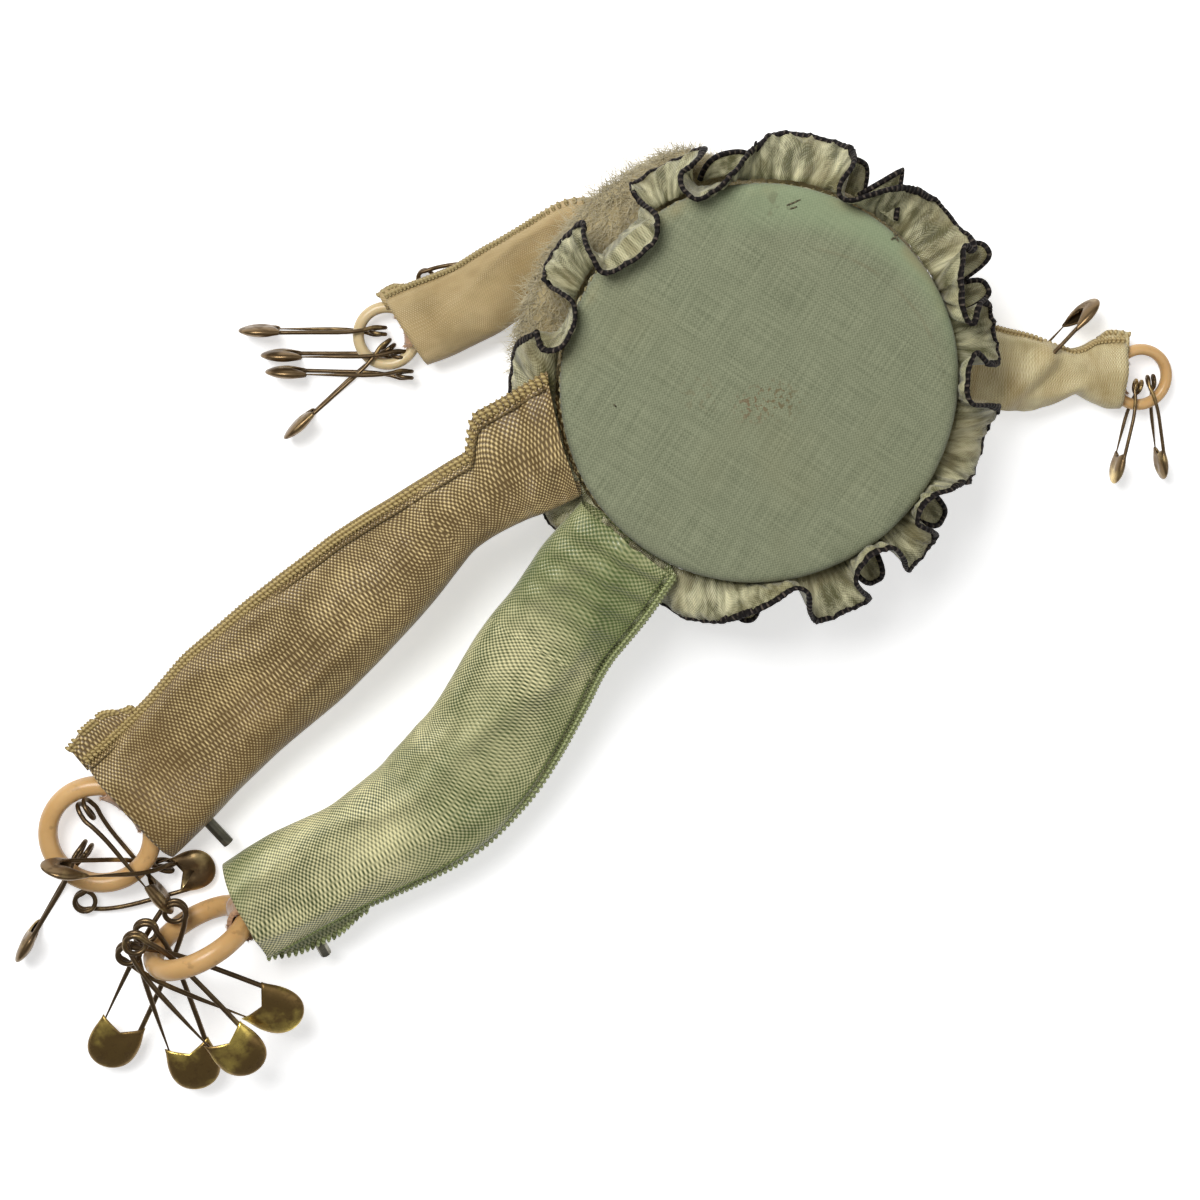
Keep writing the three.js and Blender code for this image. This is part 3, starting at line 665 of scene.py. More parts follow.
class Path:
    """A dense line that is read by its share of length."""

    def __init__(self, points: Sequence[Vector], steps: int = 16) -> None:
        """Makes the smooth line through points.

        Args:
            points: what it passes through.
            steps: pieces for each span.
        """
        self.points = smooth_path(points, steps)
        self.reached = [0.0]
        for before, after in zip(self.points, self.points[1:]):
            self.reached.append(self.reached[-1] + (after - before).length)
        self.length = self.reached[-1]

    def at(self, share: float) -> Vector:
        """Point at a share of the length.

        Args:
            share: from 0 to 1.

        Returns:
            The point.
        """
        wanted = min(max(share, 0.0), 1.0) * self.length
        low, high = 0, len(self.reached) - 1
        while high - low > 1:
            middle = (low + high) // 2
            low, high = (middle, high) if self.reached[middle] <= wanted else (low, middle)
        span = self.reached[high] - self.reached[low]
        return self.points[low].lerp(self.points[high], (wanted - self.reached[low]) / max(span, 1e-9))

    def heading(self, share: float) -> Vector:
        """Direction at a share of the length."""
        return (self.at(share + 0.004) - self.at(share - 0.004)).normalized()


class Surface:
    """Points, faces and a cloth map, in mm, that become one piece."""

    def __init__(self) -> None:
        """Starts empty."""
        self.points: list[Vector] = []
        self.faces: list[tuple[int, ...]] = []
        self.maps: list[list[tuple[float, float]]] = []
        self.slots: list[int] = []

    def grid(self, rows: Sequence[Sequence[Vector]], along: Sequence[float], across: Sequence[float],
             wrap: bool = False, loop: bool = False, slot: int = 0) -> int:
        """Adds a sheet of quads.

        Args:
            rows: rows of points, of equal count.
            along: the map's place of each row, and one more where it loops.
            across: the map's place of each column, and one more where it wraps.
            wrap: joins each row's last point to its first.
            loop: joins the last row to the first.
            slot: the material's number.

        Returns:
            The number of its first point.
        """
        base = len(self.points)
        count = len(rows[0])
        for row in rows:
            self.points.extend(row)
        for i in range(len(rows) if loop else len(rows) - 1):
            below = ((i + 1) % len(rows)) * count
            for j in range(count if wrap else count - 1):
                side = (j + 1) % count
                self.faces.append((base + i * count + j, base + i * count + side, base + below + side,
                                   base + below + j))
                self.maps.append([(along[i], across[j]), (along[i], across[j + 1]),
                                  (along[i + 1], across[j + 1]), (along[i + 1], across[j])])
                self.slots.append(slot)
        return base

    def cap(self, first: int, count: int, slot: int = 0) -> None:
        """Closes a ring of points with one face.

        Args:
            first: its first point.
            count: how many there are.
            slot: the material's number.
        """
        self.faces.append(tuple(range(first, first + count)))
        self.maps.append([(0.0, 0.0)] * count)
        self.slots.append(slot)

    def tube(self, points: Sequence[Vector], radius: float | Callable[[float], float], sides: int,
             slot: int = 0) -> None:
        """Adds a round tube with closed ends.

        Args:
            points: the line that it follows.
            radius: its radius, or a function of the share of its length.
            sides: points round it.
            slot: the material's number.
        """
        size = radius if callable(radius) else lambda share: radius
        lift = Z if abs((points[1] - points[0]).normalized().z) < 0.9 else Vector((1, 0, 0))
        rows, reached = [], [0.0]
        for index, point in enumerate(points):
            before, after = points[max(index - 1, 0)], points[min(index + 1, len(points) - 1)]
            heading = (after - before).normalized()
            side = heading.cross(lift).normalized()
            lift = side.cross(heading).normalized()
            wide = size(index / (len(points) - 1))
            rows.append([point + side * (wide * cos) + lift * (wide * sin) for cos, sin in circle(sides)])
            if index:
                reached.append(reached[-1] + (point - before).length)
        girth = 2 * math.pi * size(0.5)
        round_it = [girth * k / sides for k in range(sides + 1)]
        first = self.grid(rows, reached, round_it, wrap=True, slot=slot)
        self.cap(first, sides, slot)
        self.cap(first + (len(rows) - 1) * sides, sides, slot)

    def bead(self, centre: Vector, along: Vector, across: Vector, size: tuple[float, float, float]) -> None:
        """Adds an oval stitch.

        Args:
            centre: its middle.
            along: its long direction.
            across: its wide direction.
            size: half its length, width and height.
        """
        top = along.cross(across).normalized()
        rows = []
        for part in (-0.96, -0.6, 0.0, 0.6, 0.96):
            wide = math.sqrt(1 - part * part)
            rows.append([centre + along * (size[0] * part) + across * (size[1] * wide * math.cos(a))
                         + top * (size[2] * wide * math.sin(a)) for a in (math.pi * k / 3 for k in range(6))])
        first = self.grid(rows, [size[0] * p for p in (0, 0.5, 1, 1.5, 2)],
                          [size[1] * k / 3 for k in range(7)], wrap=True)
        self.cap(first, 6)
        self.cap(first + 24, 6)

    def piece(self, name: str, *finishes: bpy.types.Material, thickness: float = 0.0) -> bpy.types.Object:
        """Makes the Blender object.

        Args:
            name: its name.
            *finishes: its materials, by slot.
            thickness: how thick a bare sheet becomes, in mm.

        Returns:
            The object.
        """
        mesh = bpy.data.meshes.new(name)
        mesh.from_pydata([point * MM for point in self.points], [], self.faces)
        layer = mesh.uv_layers.new(name="cloth")
        spot = 0
        for corners in self.maps:
            for corner in corners:
                layer.data[spot].uv = corner
                spot += 1
        for polygon, slot in zip(mesh.polygons, self.slots):
            polygon.material_index = slot
            polygon.use_smooth = True
        for finish in finishes:
            mesh.materials.append(finish)
        mesh.update()
        made = bpy.data.objects.new(name, mesh)
        bpy.context.scene.collection.objects.link(made)
        if thickness:
            solid = made.modifiers.new("thickness", "SOLIDIFY")
            solid.thickness = thickness * MM
            solid.offset = 0
            scene_now = bpy.context.evaluated_depsgraph_get()
            made.data = bpy.data.meshes.new_from_object(made.evaluated_get(scene_now))
            made.modifiers.clear()
        return made


def carry(piece: bpy.types.Object, body: str, slot: str, *nodes: str) -> bpy.types.Object:
    """Lets a piece ride on a body and stand for nodes.

    Args:
        piece: the finished mesh.
        body: what it moves with.
        slot: not used.
        *nodes: the nodes that it replaces.

    Returns:
        The piece.
    """
    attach(piece, body)
    if nodes:
        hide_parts(*nodes)
    log.info("%s rides on %s", piece.name, body)
    return piece


# The round body

@dataclass
class BackDisc:
    """The flat back: cotton pulled over a card, with a rounded rim."""

    radius: float = 35.0
    rim_round: float = 1.6
    rim_depth: float = 4.6
    overlap: float = 1.5
    steps: int = 180
    turns: Sequence[float] = (0, 0.01, 0.04, 0.12, 0.25, 0.4, 0.55, 0.7, 0.8, 0.86, 0.91, 0.95, 1)

    def build(self) -> None:
        """Builds the cloth, its marks and the thread at its rim."""
        surface = Surface()
        rows = []
        for level in self._profile():
            rows.append([self._point(level, 360 * k / self.steps) for k in range(self.steps)])
        surface.grid(rows, even(3.0, len(rows)), even(1.2, self.steps + 1), wrap=True)
        cloth = surface.piece("back_cloth", BackCotton().build(), thickness=0.35)
        carry(cloth, "body", "sage_cotton", "back_cover")
        cut = 2 * (self.radius + self.rim_depth + self.overlap) * MM
        math.pi * cut * cut / 4
        self._stitches()

    def _profile(self) -> list[tuple[float, float]]:
        """Radius and level from the middle to the turned-in lower edge.

        Returns:
            A pair for each row.
        """
        inner = self.radius - self.rim_round
        smallest, top = 0.04, -0.18
        flat = [(max(smallest, inner * turn), top) for turn in self.turns]
        bend = [(inner + self.rim_round * math.sin(a), top - self.rim_round * (1 - math.cos(a)))
                for a in (math.radians(d) for d in (20, 40, 60, 80, 90))]
        side = [(self.radius - 0.05, -self.rim_depth * s) for s in (0.55, 0.8, 1.0)]
        tuck = [(self.radius - self.overlap, -self.rim_depth - 0.1)]
        return flat + bend + side + tuck

    def _point(self, profile: tuple[float, float], azimuth: float) -> Vector:
        """A point of the cloth with its slight unevenness.

        Args:
            profile: its radius and level.
            azimuth: in degrees.

        Returns:
            The point.
        """
        radius, level = profile
        flat_radius, groove_radius = 24, 29.2
        near_rim = ease((radius - flat_radius) / 10)
        angle = math.radians(azimuth)
        x, y = math.cos(angle) * radius, math.sin(angle) * radius
        pucker = 0.16 * near_rim * math.sin(azimuth * 0.55 + 3 * rough(x * 0.1, y * 0.1))
        pucker *= rough(x * 0.2, y * 0.2, 4)
        dish = -0.22 * (1 - near_rim) * (0.5 + 0.5 * rough(x * 0.06, y * 0.06, 8))
        groove = -0.14 * math.exp(-((radius - groove_radius) / 0.7) ** 2) * ease((x + y - 31) / 6) * 0.7
        outline = 1 + 0.006 * rough(math.cos(angle) * 1.4, math.sin(angle) * 1.4, 2)
        return polar(azimuth, radius * outline, level + dish + groove + pucker * (1 if level > -2 else 0))

    def _stitches(self) -> None:
        """Builds the few dark stitch marks and the overcasting at the rim."""
        marks = Surface()
        for start, stop in (((3.8, 31.6), (6.2, 32.6)), ((4.4, 31.0), (5.6, 31.4)),
                            ((22.2, 25.6), (23.4, 26.6)), ((23.4, 25.4), (22.6, 26.8)),
                            ((-26.0, -2.5), (-25.6, -2.9))):
            a, b = Vector((*start, -0.08)), Vector((*stop, -0.08))
            marks.tube([a, a.lerp(b, 0.5) + Z * 0.12, b], 0.16, 6)
        dark = StitchedThread("dark_thread", (120, 112, 84), (70, 66, 48)).build()
        carry(marks.piece("mark_stitches", dark), "body", "sage_cotton")
        seam = Surface()
        for k in range(120):
            azimuth = 3.0 * k + 0.8 * rough(k * 0.7, 1.0)
            low = polar(azimuth, self.radius + 0.12, -3.7)
            high = polar(azimuth + 1.1, self.radius + 0.1, -2.5)
            seam.tube([low, low.lerp(high, 0.5) + polar(azimuth, 0.18, 0), high], 0.17, 5)
        pale = StitchedThread("seam_thread", (176, 166, 124), (128, 118, 82)).build()
        carry(seam.piece("rim_stitches", pale), "body", "sage_cotton")


@dataclass(frozen=True)
class Station:
    """A point of the ruffle's dark edge: azimuth, reach past the rim and rise over its root, in mm."""

    azimuth: float
    reach: float
    rise: float


@dataclass(frozen=True)
class Fold:
    """A fold that shows behind the ruffle: its azimuth, half its spread, its radius, level and roundness."""

    azimuth: float
    spread: float
    radius: float
    level: float
    roundness: float = 3.0


def stations(*rows: tuple[float, float, float]) -> list[Station]:
    """Stations from rows of their three values."""
    return [Station(*row) for row in rows]


@dataclass
class Ruffle:
    """A gathered satin ribbon round the rim. Its dark edge folds to and fro."""

    rim: float = 35.0
    root_gap: float = 0.75
    root_level: float = -5.0
    width: float = 10.0
    edge_width: float = 1.5
    edge_thickness: float = 0.85
    columns: int = 13
    spacing: float = 0.62
    # Clockwise as seen on the back, from beside the left leg round to the right leg.
    seen: list[Station] = field(default_factory=lambda: stations(
        (165, 6, 6.5), (169, 4.5, 8), (168, 1.5, 9), (161, .3, 9), (155, 1.5, 8.5), (154, 4.5, 6),
        (154, 6.5, 0), (150, 7.5, -3.5), (144, 7.5, -3), (137, 7.5, 3), (140, 6, 7), (142, 3.5, 8.8),
        (144, 0, 9), (140, -1.8, 8.8), (134, -2.8, 8.8), (126, -2.4, 8.8), (122, .5, 8.5),
        (123, 3.5, 4), (123, 6, -2), (116, 6, -4), (108, 6.5, -4), (103, 7, -2), (106, 6, 4),
        (112, 5, 7.5), (113, 3, 8.6), (111, .5, 9), (106, .5, 9), (99, 3, 8), (92, 6.5, 2),
        (86, 8.5, -3), (80, 9, -3.5), (73, 9, -3.5), (69, 9, 0), (69, 6.5, 7), (71, 2.5, 8.8),
        (70, .5, 9), (66, 1, 9), (61, 4, 8.4), (55, 7.5, 5), (48, 9.3, 0), (42, 9.5, -2.5),
        (36, 9.8, -2), (33.5, 10.4, 0), (31.5, 9.6, 1), (35, 8, 5), (32, 5.5, 7.6), (26, 3, 8.8),
        (20, 2, 9), (17, 3, 8.8), (21, 5.5, 7), (19.5, 7.8, 1), (13, 8.2, -1), (4, 8.6, -2.5),
        (6, 5, 6), (10, 2.5, 8.6), (6, 1, 9), (0, .6, 9), (-4, 1.5, 8.6), (-5, 6.5, 4), (-6, 9, -1),
        (-9, 8.6, -3.5), (-13, 8.2, -4.5), (-18, 8.2, -4.5), (-23, 8.5, -4), (-25, 7, 0), (-28, 3, 8.4),
        (-32, .6, 9), (-37, .2, 9), (-41, 1.2, 9), (-40.5, 4, 7.6), (-40, 7.5, 2), (-44, 9, -2.5),
        (-47, 9.5, -2), (-51, 9, 0), (-50, 5.5, 6), (-50.5, 1.5, 9), (-56, .2, 9), (-61, 1, 9),
        (-64, 3, 8.6), (-63, 7, 5), (-62, 9.6, 0), (-68, 10.2, -1), (-75, 10.2, -.5), (-77, 6.5, 5),
        (-77, 2, 8.8), (-80, .5, 9), (-85, 2, 8.8), (-91, 4.5, 7.4), (-97, 8, 1), (-101, 9.3, -3),
        (-105, 9.5, -3)))
    # Under the legs, where the ruffle lies low.
    hidden: list[Station] = field(default_factory=lambda: stations(
        (-110, 8.8, -5.6), (-116, 8.6, -6.4), (-121, 8.8, -5.6), (-127, 8.6, -6.6), (-132, 8.8, -5.8),
        (-137, 9, -6.4), (-142, 9.2, -5.6), (-146, 9.4, -6.2), (-150, 9.4, -5.6), (-155, 8.8, -6.6),
        (-161, 8.6, -5.8), (-167, 8.6, -6.6), (-173, 8.6, -5.8), (-178, 8.6, -6.2), (-184, 8.2, -5.2),
        (-190, 8, -1.5)))
    behind: Sequence[Fold] = (Fold(57, 6, 44.6, -2.5, 1.0), Fold(66, 5, 42.5, -5), Fold(29.5, 4.6, 47, -8),
                              Fold(21.5, 4, 44.6, -9), Fold(-36.5, 4.6, 42.8, -7), Fold(-58.5, 4.2, 42.8, -6),
                              Fold(97, 9, 40.4, -9), Fold(-104, 4.6, 43.4, -9), Fold(-91, 4.8, 43.8, -9.5))

    def build(self) -> None:
        """Builds the satin and its dark edge."""
        rows = self.seen + self.hidden
        edge_points = [polar(s.azimuth, self.rim + s.reach, self.root_level + s.rise) for s in rows]
        edge = Path([*edge_points, edge_points[0]], 8)
        roots = self._roots([s.azimuth for s in rows] + [rows[0].azimuth - 360])
        count = int(edge.length / self.spacing)
        sheet_rows, along = [], []
        for k in range(count + 1):
            share = k / count
            sheet_rows.append(self._row(edge, roots, share))
            along.append(share * edge.length)
        satin = Surface()
        across = [self.width * c / (self.columns - 1) for c in range(self.columns)]
        satin.grid(sheet_rows, along, across)
        ribbon = satin.piece("ruffle_ribbon", self.satin(), thickness=0.22)
        carry(ribbon, "body", "ivory_green_satin", "ruffle")
        extras = [self._trim(sheet_rows, along), *self._folds_behind()]

    def _folds_behind(self) -> list[bpy.types.Object]:
        """Builds the folds that show behind the ruffle, with their dark edge.

        Returns:
            The satin and its edge.
        """
        satin, cord, steps, columns = Surface(), Surface(), 16, 7
        for index, fold in enumerate(self.behind):
            rows = []
            for k in range(steps + 1):
                part = 2 * k / steps - 1
                azimuth = fold.azimuth + fold.spread * part
                root = self.rim + 1.6
                tip = lerp(root, fold.radius, 1 - 0.94 * abs(part) ** fold.roundness)
                wave = 1.2 * math.sin(3.4 * part + index)
                levels = [fold.level + wave * c / columns for c in range(columns)]
                rows.append([polar(azimuth, lerp(root, tip, c / (columns - 1)), levels[c])
                             for c in range(columns)])
            satin.grid(rows, even(0.6, steps + 1), even(1.3, columns))
            cord.tube([row[-1] for row in rows], 0.5, 8)
        pieces = (satin.piece("ruffle_folds", self.satin(), thickness=0.2),
                  cord.piece("ruffle_folds_edge", LadderEdge("dark_fold_edge").build()))
        return [carry(piece, "body", "ivory_green_satin") for piece in pieces]

    @staticmethod
    def satin() -> bpy.types.Material:
        """The ruffle's pale ivory-green satin, with painted crinkle shade and highlights.

        Returns:
            The material.
        """
        return Satin("ruffle_satin", (244, 238, 194), (92, 90, 54), (138, 124, 80), pitch=0.55, shine=0.2,
                     dots=0.45, stain_share=0.45, drift=120.0, fold_scale=5.0, contrast=2.6,
                     depth=0.3).build()

    def _roots(self, azimuths: list[float]) -> list[float]:
        """Azimuths of the root line, which never runs back.

        Args:
            azimuths: the outer edge's azimuths.

        Returns:
            The smoothed azimuths.
        """
        reach, least_step = 5, 0.15
        smooth = []
        for index in range(len(azimuths)):
            near = azimuths[max(0, index - reach):index + reach + 1]
            smooth.append(sum(near) / len(near))
        for index in range(1, len(smooth)):
            smooth[index] = min(smooth[index], smooth[index - 1] - least_step)
        smooth[0], smooth[-1] = azimuths[0], azimuths[-1]
        return smooth

    def _row(self, edge: Path, roots: list[float], share: float) -> list[Vector]:
        """One row of the ribbon, from its root to its dark edge.

        Args:
            edge: the outer edge.
            roots: the root line's azimuths.
            share: the share of the edge's length.

        Returns:
            Its points.
        """
        azimuth = along_list(roots, share)
        outer = edge.at(share)
        pleat = math.sin(math.radians(azimuth) * 70) * 0.35
        base = polar(azimuth, self.rim + self.root_gap, self.root_level - 0.6 + pleat)
        lean = polar(azimuth, 1.0, 0)
        span = outer - base
        bow = lean * (1.5 - 0.3 * max(0.0, outer.z - self.root_level))
        bow += Z * (0.9 * lean.dot(span.normalized()))
        row = []
        length = share * edge.length
        for column in range(self.columns):
            part = column / (self.columns - 1)
            crumple = max(0.0, 1 - 2.4 * abs(rough(length * 0.22 + part * 0.8, part * 1.1, 5))) ** 2
            gather = 0.3 * math.sin(length * 1.9 + 2 * rough(length * 0.3, 0, 6)) * (1 - part)
            ripple = (1.2 * crumple + gather) * math.sin(math.pi * min(1.0, part * 0.9 + 0.05))
            point = base + span * part + bow * math.sin(math.pi * part) + lean * ripple
            row.append(self._off_the_disc(point))
        return row

    def _off_the_disc(self, point: Vector) -> Vector:
        """The point, moved outward where it would lie inside the disc's rim.

        Args:
            point: a point of the ribbon.

        Returns:
            The point that is used.
        """
        radius = math.hypot(point.x, point.y)
        free, over_the_disc = 0.6, 6.0
        least = self.rim + free - over_the_disc * ease((point.z - 0.3) / 1.4)
        if radius >= least:
            return point
        scale = least / radius
        return Vector((point.x * scale, point.y * scale, point.z))

    def _trim(self, rows: list[list[Vector]], along: list[float]) -> bpy.types.Object:
        """Builds the corded edge along the rows' last points.

        Args:
            rows: the ribbon's rows.
            along: their places in mm.

        Returns:
            The edge.
        """
        surface = Surface()
        made = []
        sides = 8
        for index, row in enumerate(rows):
            ahead, behind = rows[min(index + 1, len(rows) - 1)][-1], rows[max(index - 1, 0)][-1]
            out = (row[-1] - row[-2]).normalized()
            normal = (ahead - behind).cross(out).normalized()
            centre = row[-1] - out * (self.edge_width / 2 - 0.25)
            beat = 1 + 0.12 * math.sin(along[index] * 2 * math.pi / LadderEdge.pitch)
            made.append([centre + out * (self.edge_width / 2 * cos * beat)
                         + normal * (self.edge_thickness / 2 * sin * beat) for cos, sin in circle(sides)])
        surface.grid(made, along, [self.edge_width * k / 4 for k in range(sides + 1)], wrap=True)
        return carry(surface.piece("ruffle_dark_edge", LadderEdge().build()), "body", "ivory_green_satin")


@dataclass
class FrontShape:
    """The stuffed front's outline, which the face and its cloth share."""

    rim_depth: float = 5.2
    drop: float = 30.0
    flat_cut: float = 0.5
    reach: float = 36.2
    power: float = 1.15

    def level(self, radius: float, inset: float) -> float:
        """Level of the front at a radius, in mm under the back face.

        Args:
            radius: the radius.
            inset: how far inside the front.

        Returns:
            The level.
        """
        share = min(radius / (self.reach - inset), 1.0)
        crown = self.drop + self.flat_cut - inset - self.rim_depth
        return max(-(self.rim_depth + crown * math.sqrt(1 - share * share) ** self.power), -self.drop + inset)

    def radius(self, level: float, inset: float) -> float:
        """Radius of the front at a level.

        Args:
            level: the level.
            inset: how far inside the front.

        Returns:
            The radius.
        """
        crown = self.drop + self.flat_cut - inset - self.rim_depth
        share = math.sqrt(1 - ((-level - self.rim_depth) / crown) ** (2 / self.power))
        return (self.reach - inset) * share


@dataclass
class FrontCushion:
    """The stuffed front: satin gathered to the rim, and a plain embroidered face in its middle."""

    shape: FrontShape = field(default_factory=FrontShape)
    cloth_inset: float = 0.95
    wadding_inset: float = 1.9
    face_radius: float = 20.0
    face_inset: float = 0.6
    stitch_proud: float = 0.3
    head_up: float = 55.0
    pleats: int = 46
    steps: int = 276

    def build(self) -> None:
        """Builds the cushion cloth, the face, its stitches and its border."""
        cloth = self._dome(self.shape.reach - self.cloth_inset, self.cloth_inset, True)
        cushion = cloth.piece("front_cushion", Ruffle.satin())
        carry(cushion, "body", "ivory_green_satin", "front_cover")
        patch = self._dome(self.face_radius, self.face_inset, False)
        face = patch.piece("face_cloth", FaceMuslin().build(), thickness=0.3)
        carry(face, "body", "muslin", "face_patch")
        self._wadding()
        self._features()
        self._border()

    def _wadding(self) -> None:
        """Builds the stuffing: one closed lump just inside the satin."""
        lump = self._dome(self.shape.reach - self.wadding_inset, self.wadding_inset, True)
        lump.cap(len(lump.points) - self.steps, self.steps)
        made = lump.piece("front_wadding", SoftHair("wadding", (226, 216, 190), (178, 164, 132)).build())
        carry(made, "body", "wadding", "stuffing")

    def _dome(self, outer: float, inset: float, gathered: bool) -> Surface:
        """A dome from the middle to a radius.

        Args:
            outer: the radius where it ends.
            inset: how far inside the front.
            gathered: gives its edge gathers.

        Returns:
            The dome.
        """
        surface = Surface()
        rows, along = [], []
        turns = 22
        for k in range(turns + 1):
            share = max(k / turns, 0.004)
            radius = outer * math.sin(share * math.pi / 2)
            row = []
            for s in range(self.steps):
                azimuth = 360 * s / self.steps
                pleat = math.sin(math.radians(azimuth) * self.pleats + 2 * rough(s * 0.05, 3.0))
                inward = max(0.0, 0.35 * pleat * ease((share - 0.45) / 0.4) + 0.3) if gathered else 0.0
                point = polar(azimuth, radius, self.shape.level(radius, inset))
                row.append(point - polar(azimuth, inward, 0))
            rows.append(row)
            along.append(outer * share * 1.3)
        if gathered:
            rows.append([polar(360 * s / self.steps, outer - 1.6, -self.shape.rim_depth + 0.1)
                         for s in range(self.steps)])
            along.append(along[-1] + 2)
            surface.grid(rows, along, even(0.7, self.steps + 1), wrap=True)
            return surface
        flat = [self._on_face(point) for row in rows for point in row]
        base = surface.grid(rows, along, [0.0] * (self.steps + 1), wrap=True)
        surface.maps = [[flat[corner - base] for corner in face] for face in surface.faces]
        return surface

    def _on_face(self, point: Vector) -> tuple[float, float]:
        """A point's place to the side of and up the face, in mm.

        Args:
            point: a point of the front.

        Returns:
            The two distances.
        """
        angle = math.radians(self.head_up)
        up = point.x * math.cos(angle) + point.y * math.sin(angle)
        side = point.x * math.sin(angle) - point.y * math.cos(angle)
        return side, up

    def _face_point(self, side: float, up: float) -> Vector:
        """The point of a stitch on the face's cloth at a place.

        Args:
            side: to the side, in mm.
            up: up the face, in mm.

        Returns:
            The point.
        """
        angle = math.radians(self.head_up)
        x = side * math.sin(angle) + up * math.cos(angle)
        y = -side * math.cos(angle) + up * math.sin(angle)
        return Vector((x, y, self.shape.level(math.hypot(x, y), self.face_inset) - self.stitch_proud))

    def _arc(self, surface: Surface, middle: tuple[float, float], half: float, rise: float,
             size: float) -> None:
        """A stitched line, arched by rise.

        Args:
            surface: what it is added to.
            middle: its middle on the face.
            half: half its width.
            rise: its height.
            size: its radius.
        """
        line = [self._face_point(middle[0] + half * t, middle[1] + rise * (1 - t * t))
                for t in (k / 6 - 1 for k in range(13))]
        surface.tube(line, lambda share: size * (0.45 + 0.55 * math.sin(math.pi * share)), 6)

    def _features(self) -> None:
        """Builds the closed eyes, brows, nose and mouth in thread."""
        dark, rose = Surface(), Surface()
        for side in (-1, 1):
            self._arc(dark, (side * 6.4, 1.6), 2.7, -1.1, 0.26)
            self._arc(dark, (side * 6.5, 5.6), 3.1, 1.0, 0.18)
            for k in range(5):
                spread = (k - 2) * 1.05
                start = self._face_point(side * 6.4 + spread, 0.6 + 0.12 * spread * spread)
                stop = self._face_point(side * 6.4 + spread * 1.35, -0.7 + 0.12 * spread * spread)
                dark.tube([start, start.lerp(stop, 0.5), stop], 0.12, 5)
        self._arc(rose, (0.0, -2.6), 1.1, -0.5, 0.2)
        self._arc(rose, (0.0, -7.0), 2.8, -0.9, 0.3)
        self._arc(rose, (0.0, -7.1), 1.4, -1.5, 0.26)
        brown = StitchedThread("brown_thread", (104, 74, 54), (56, 38, 28))
        red = StitchedThread("rose_thread", (190, 92, 84), (138, 58, 56))
        carry(dark.piece("face_eyes_and_brows", brown.build()), "body", "muslin")
        carry(rose.piece("face_nose_and_mouth", red.build()), "body", "muslin")

    def _border(self) -> None:
        """Builds the whipped stitches round the face."""
        whip = Surface()
        for k in range(96):
            azimuth = 3.75 * k
            inner = polar(azimuth, self.face_radius - 1.2, 0)
            outer = polar(azimuth + 2.0, self.face_radius + 0.7, 0)
            inner.z = self.shape.level(inner.length, self.face_inset) - 0.4
            outer.z = self.shape.level(outer.length, self.cloth_inset) - 0.25
            whip.tube([inner, inner.lerp(outer, 0.5) - Z * 0.35, outer], 0.2, 5)
        thread = StitchedThread("whip_thread", (214, 204, 166), (158, 146, 108))
        carry(whip.piece("face_border_stitches", thread.build()), "body", "muslin")


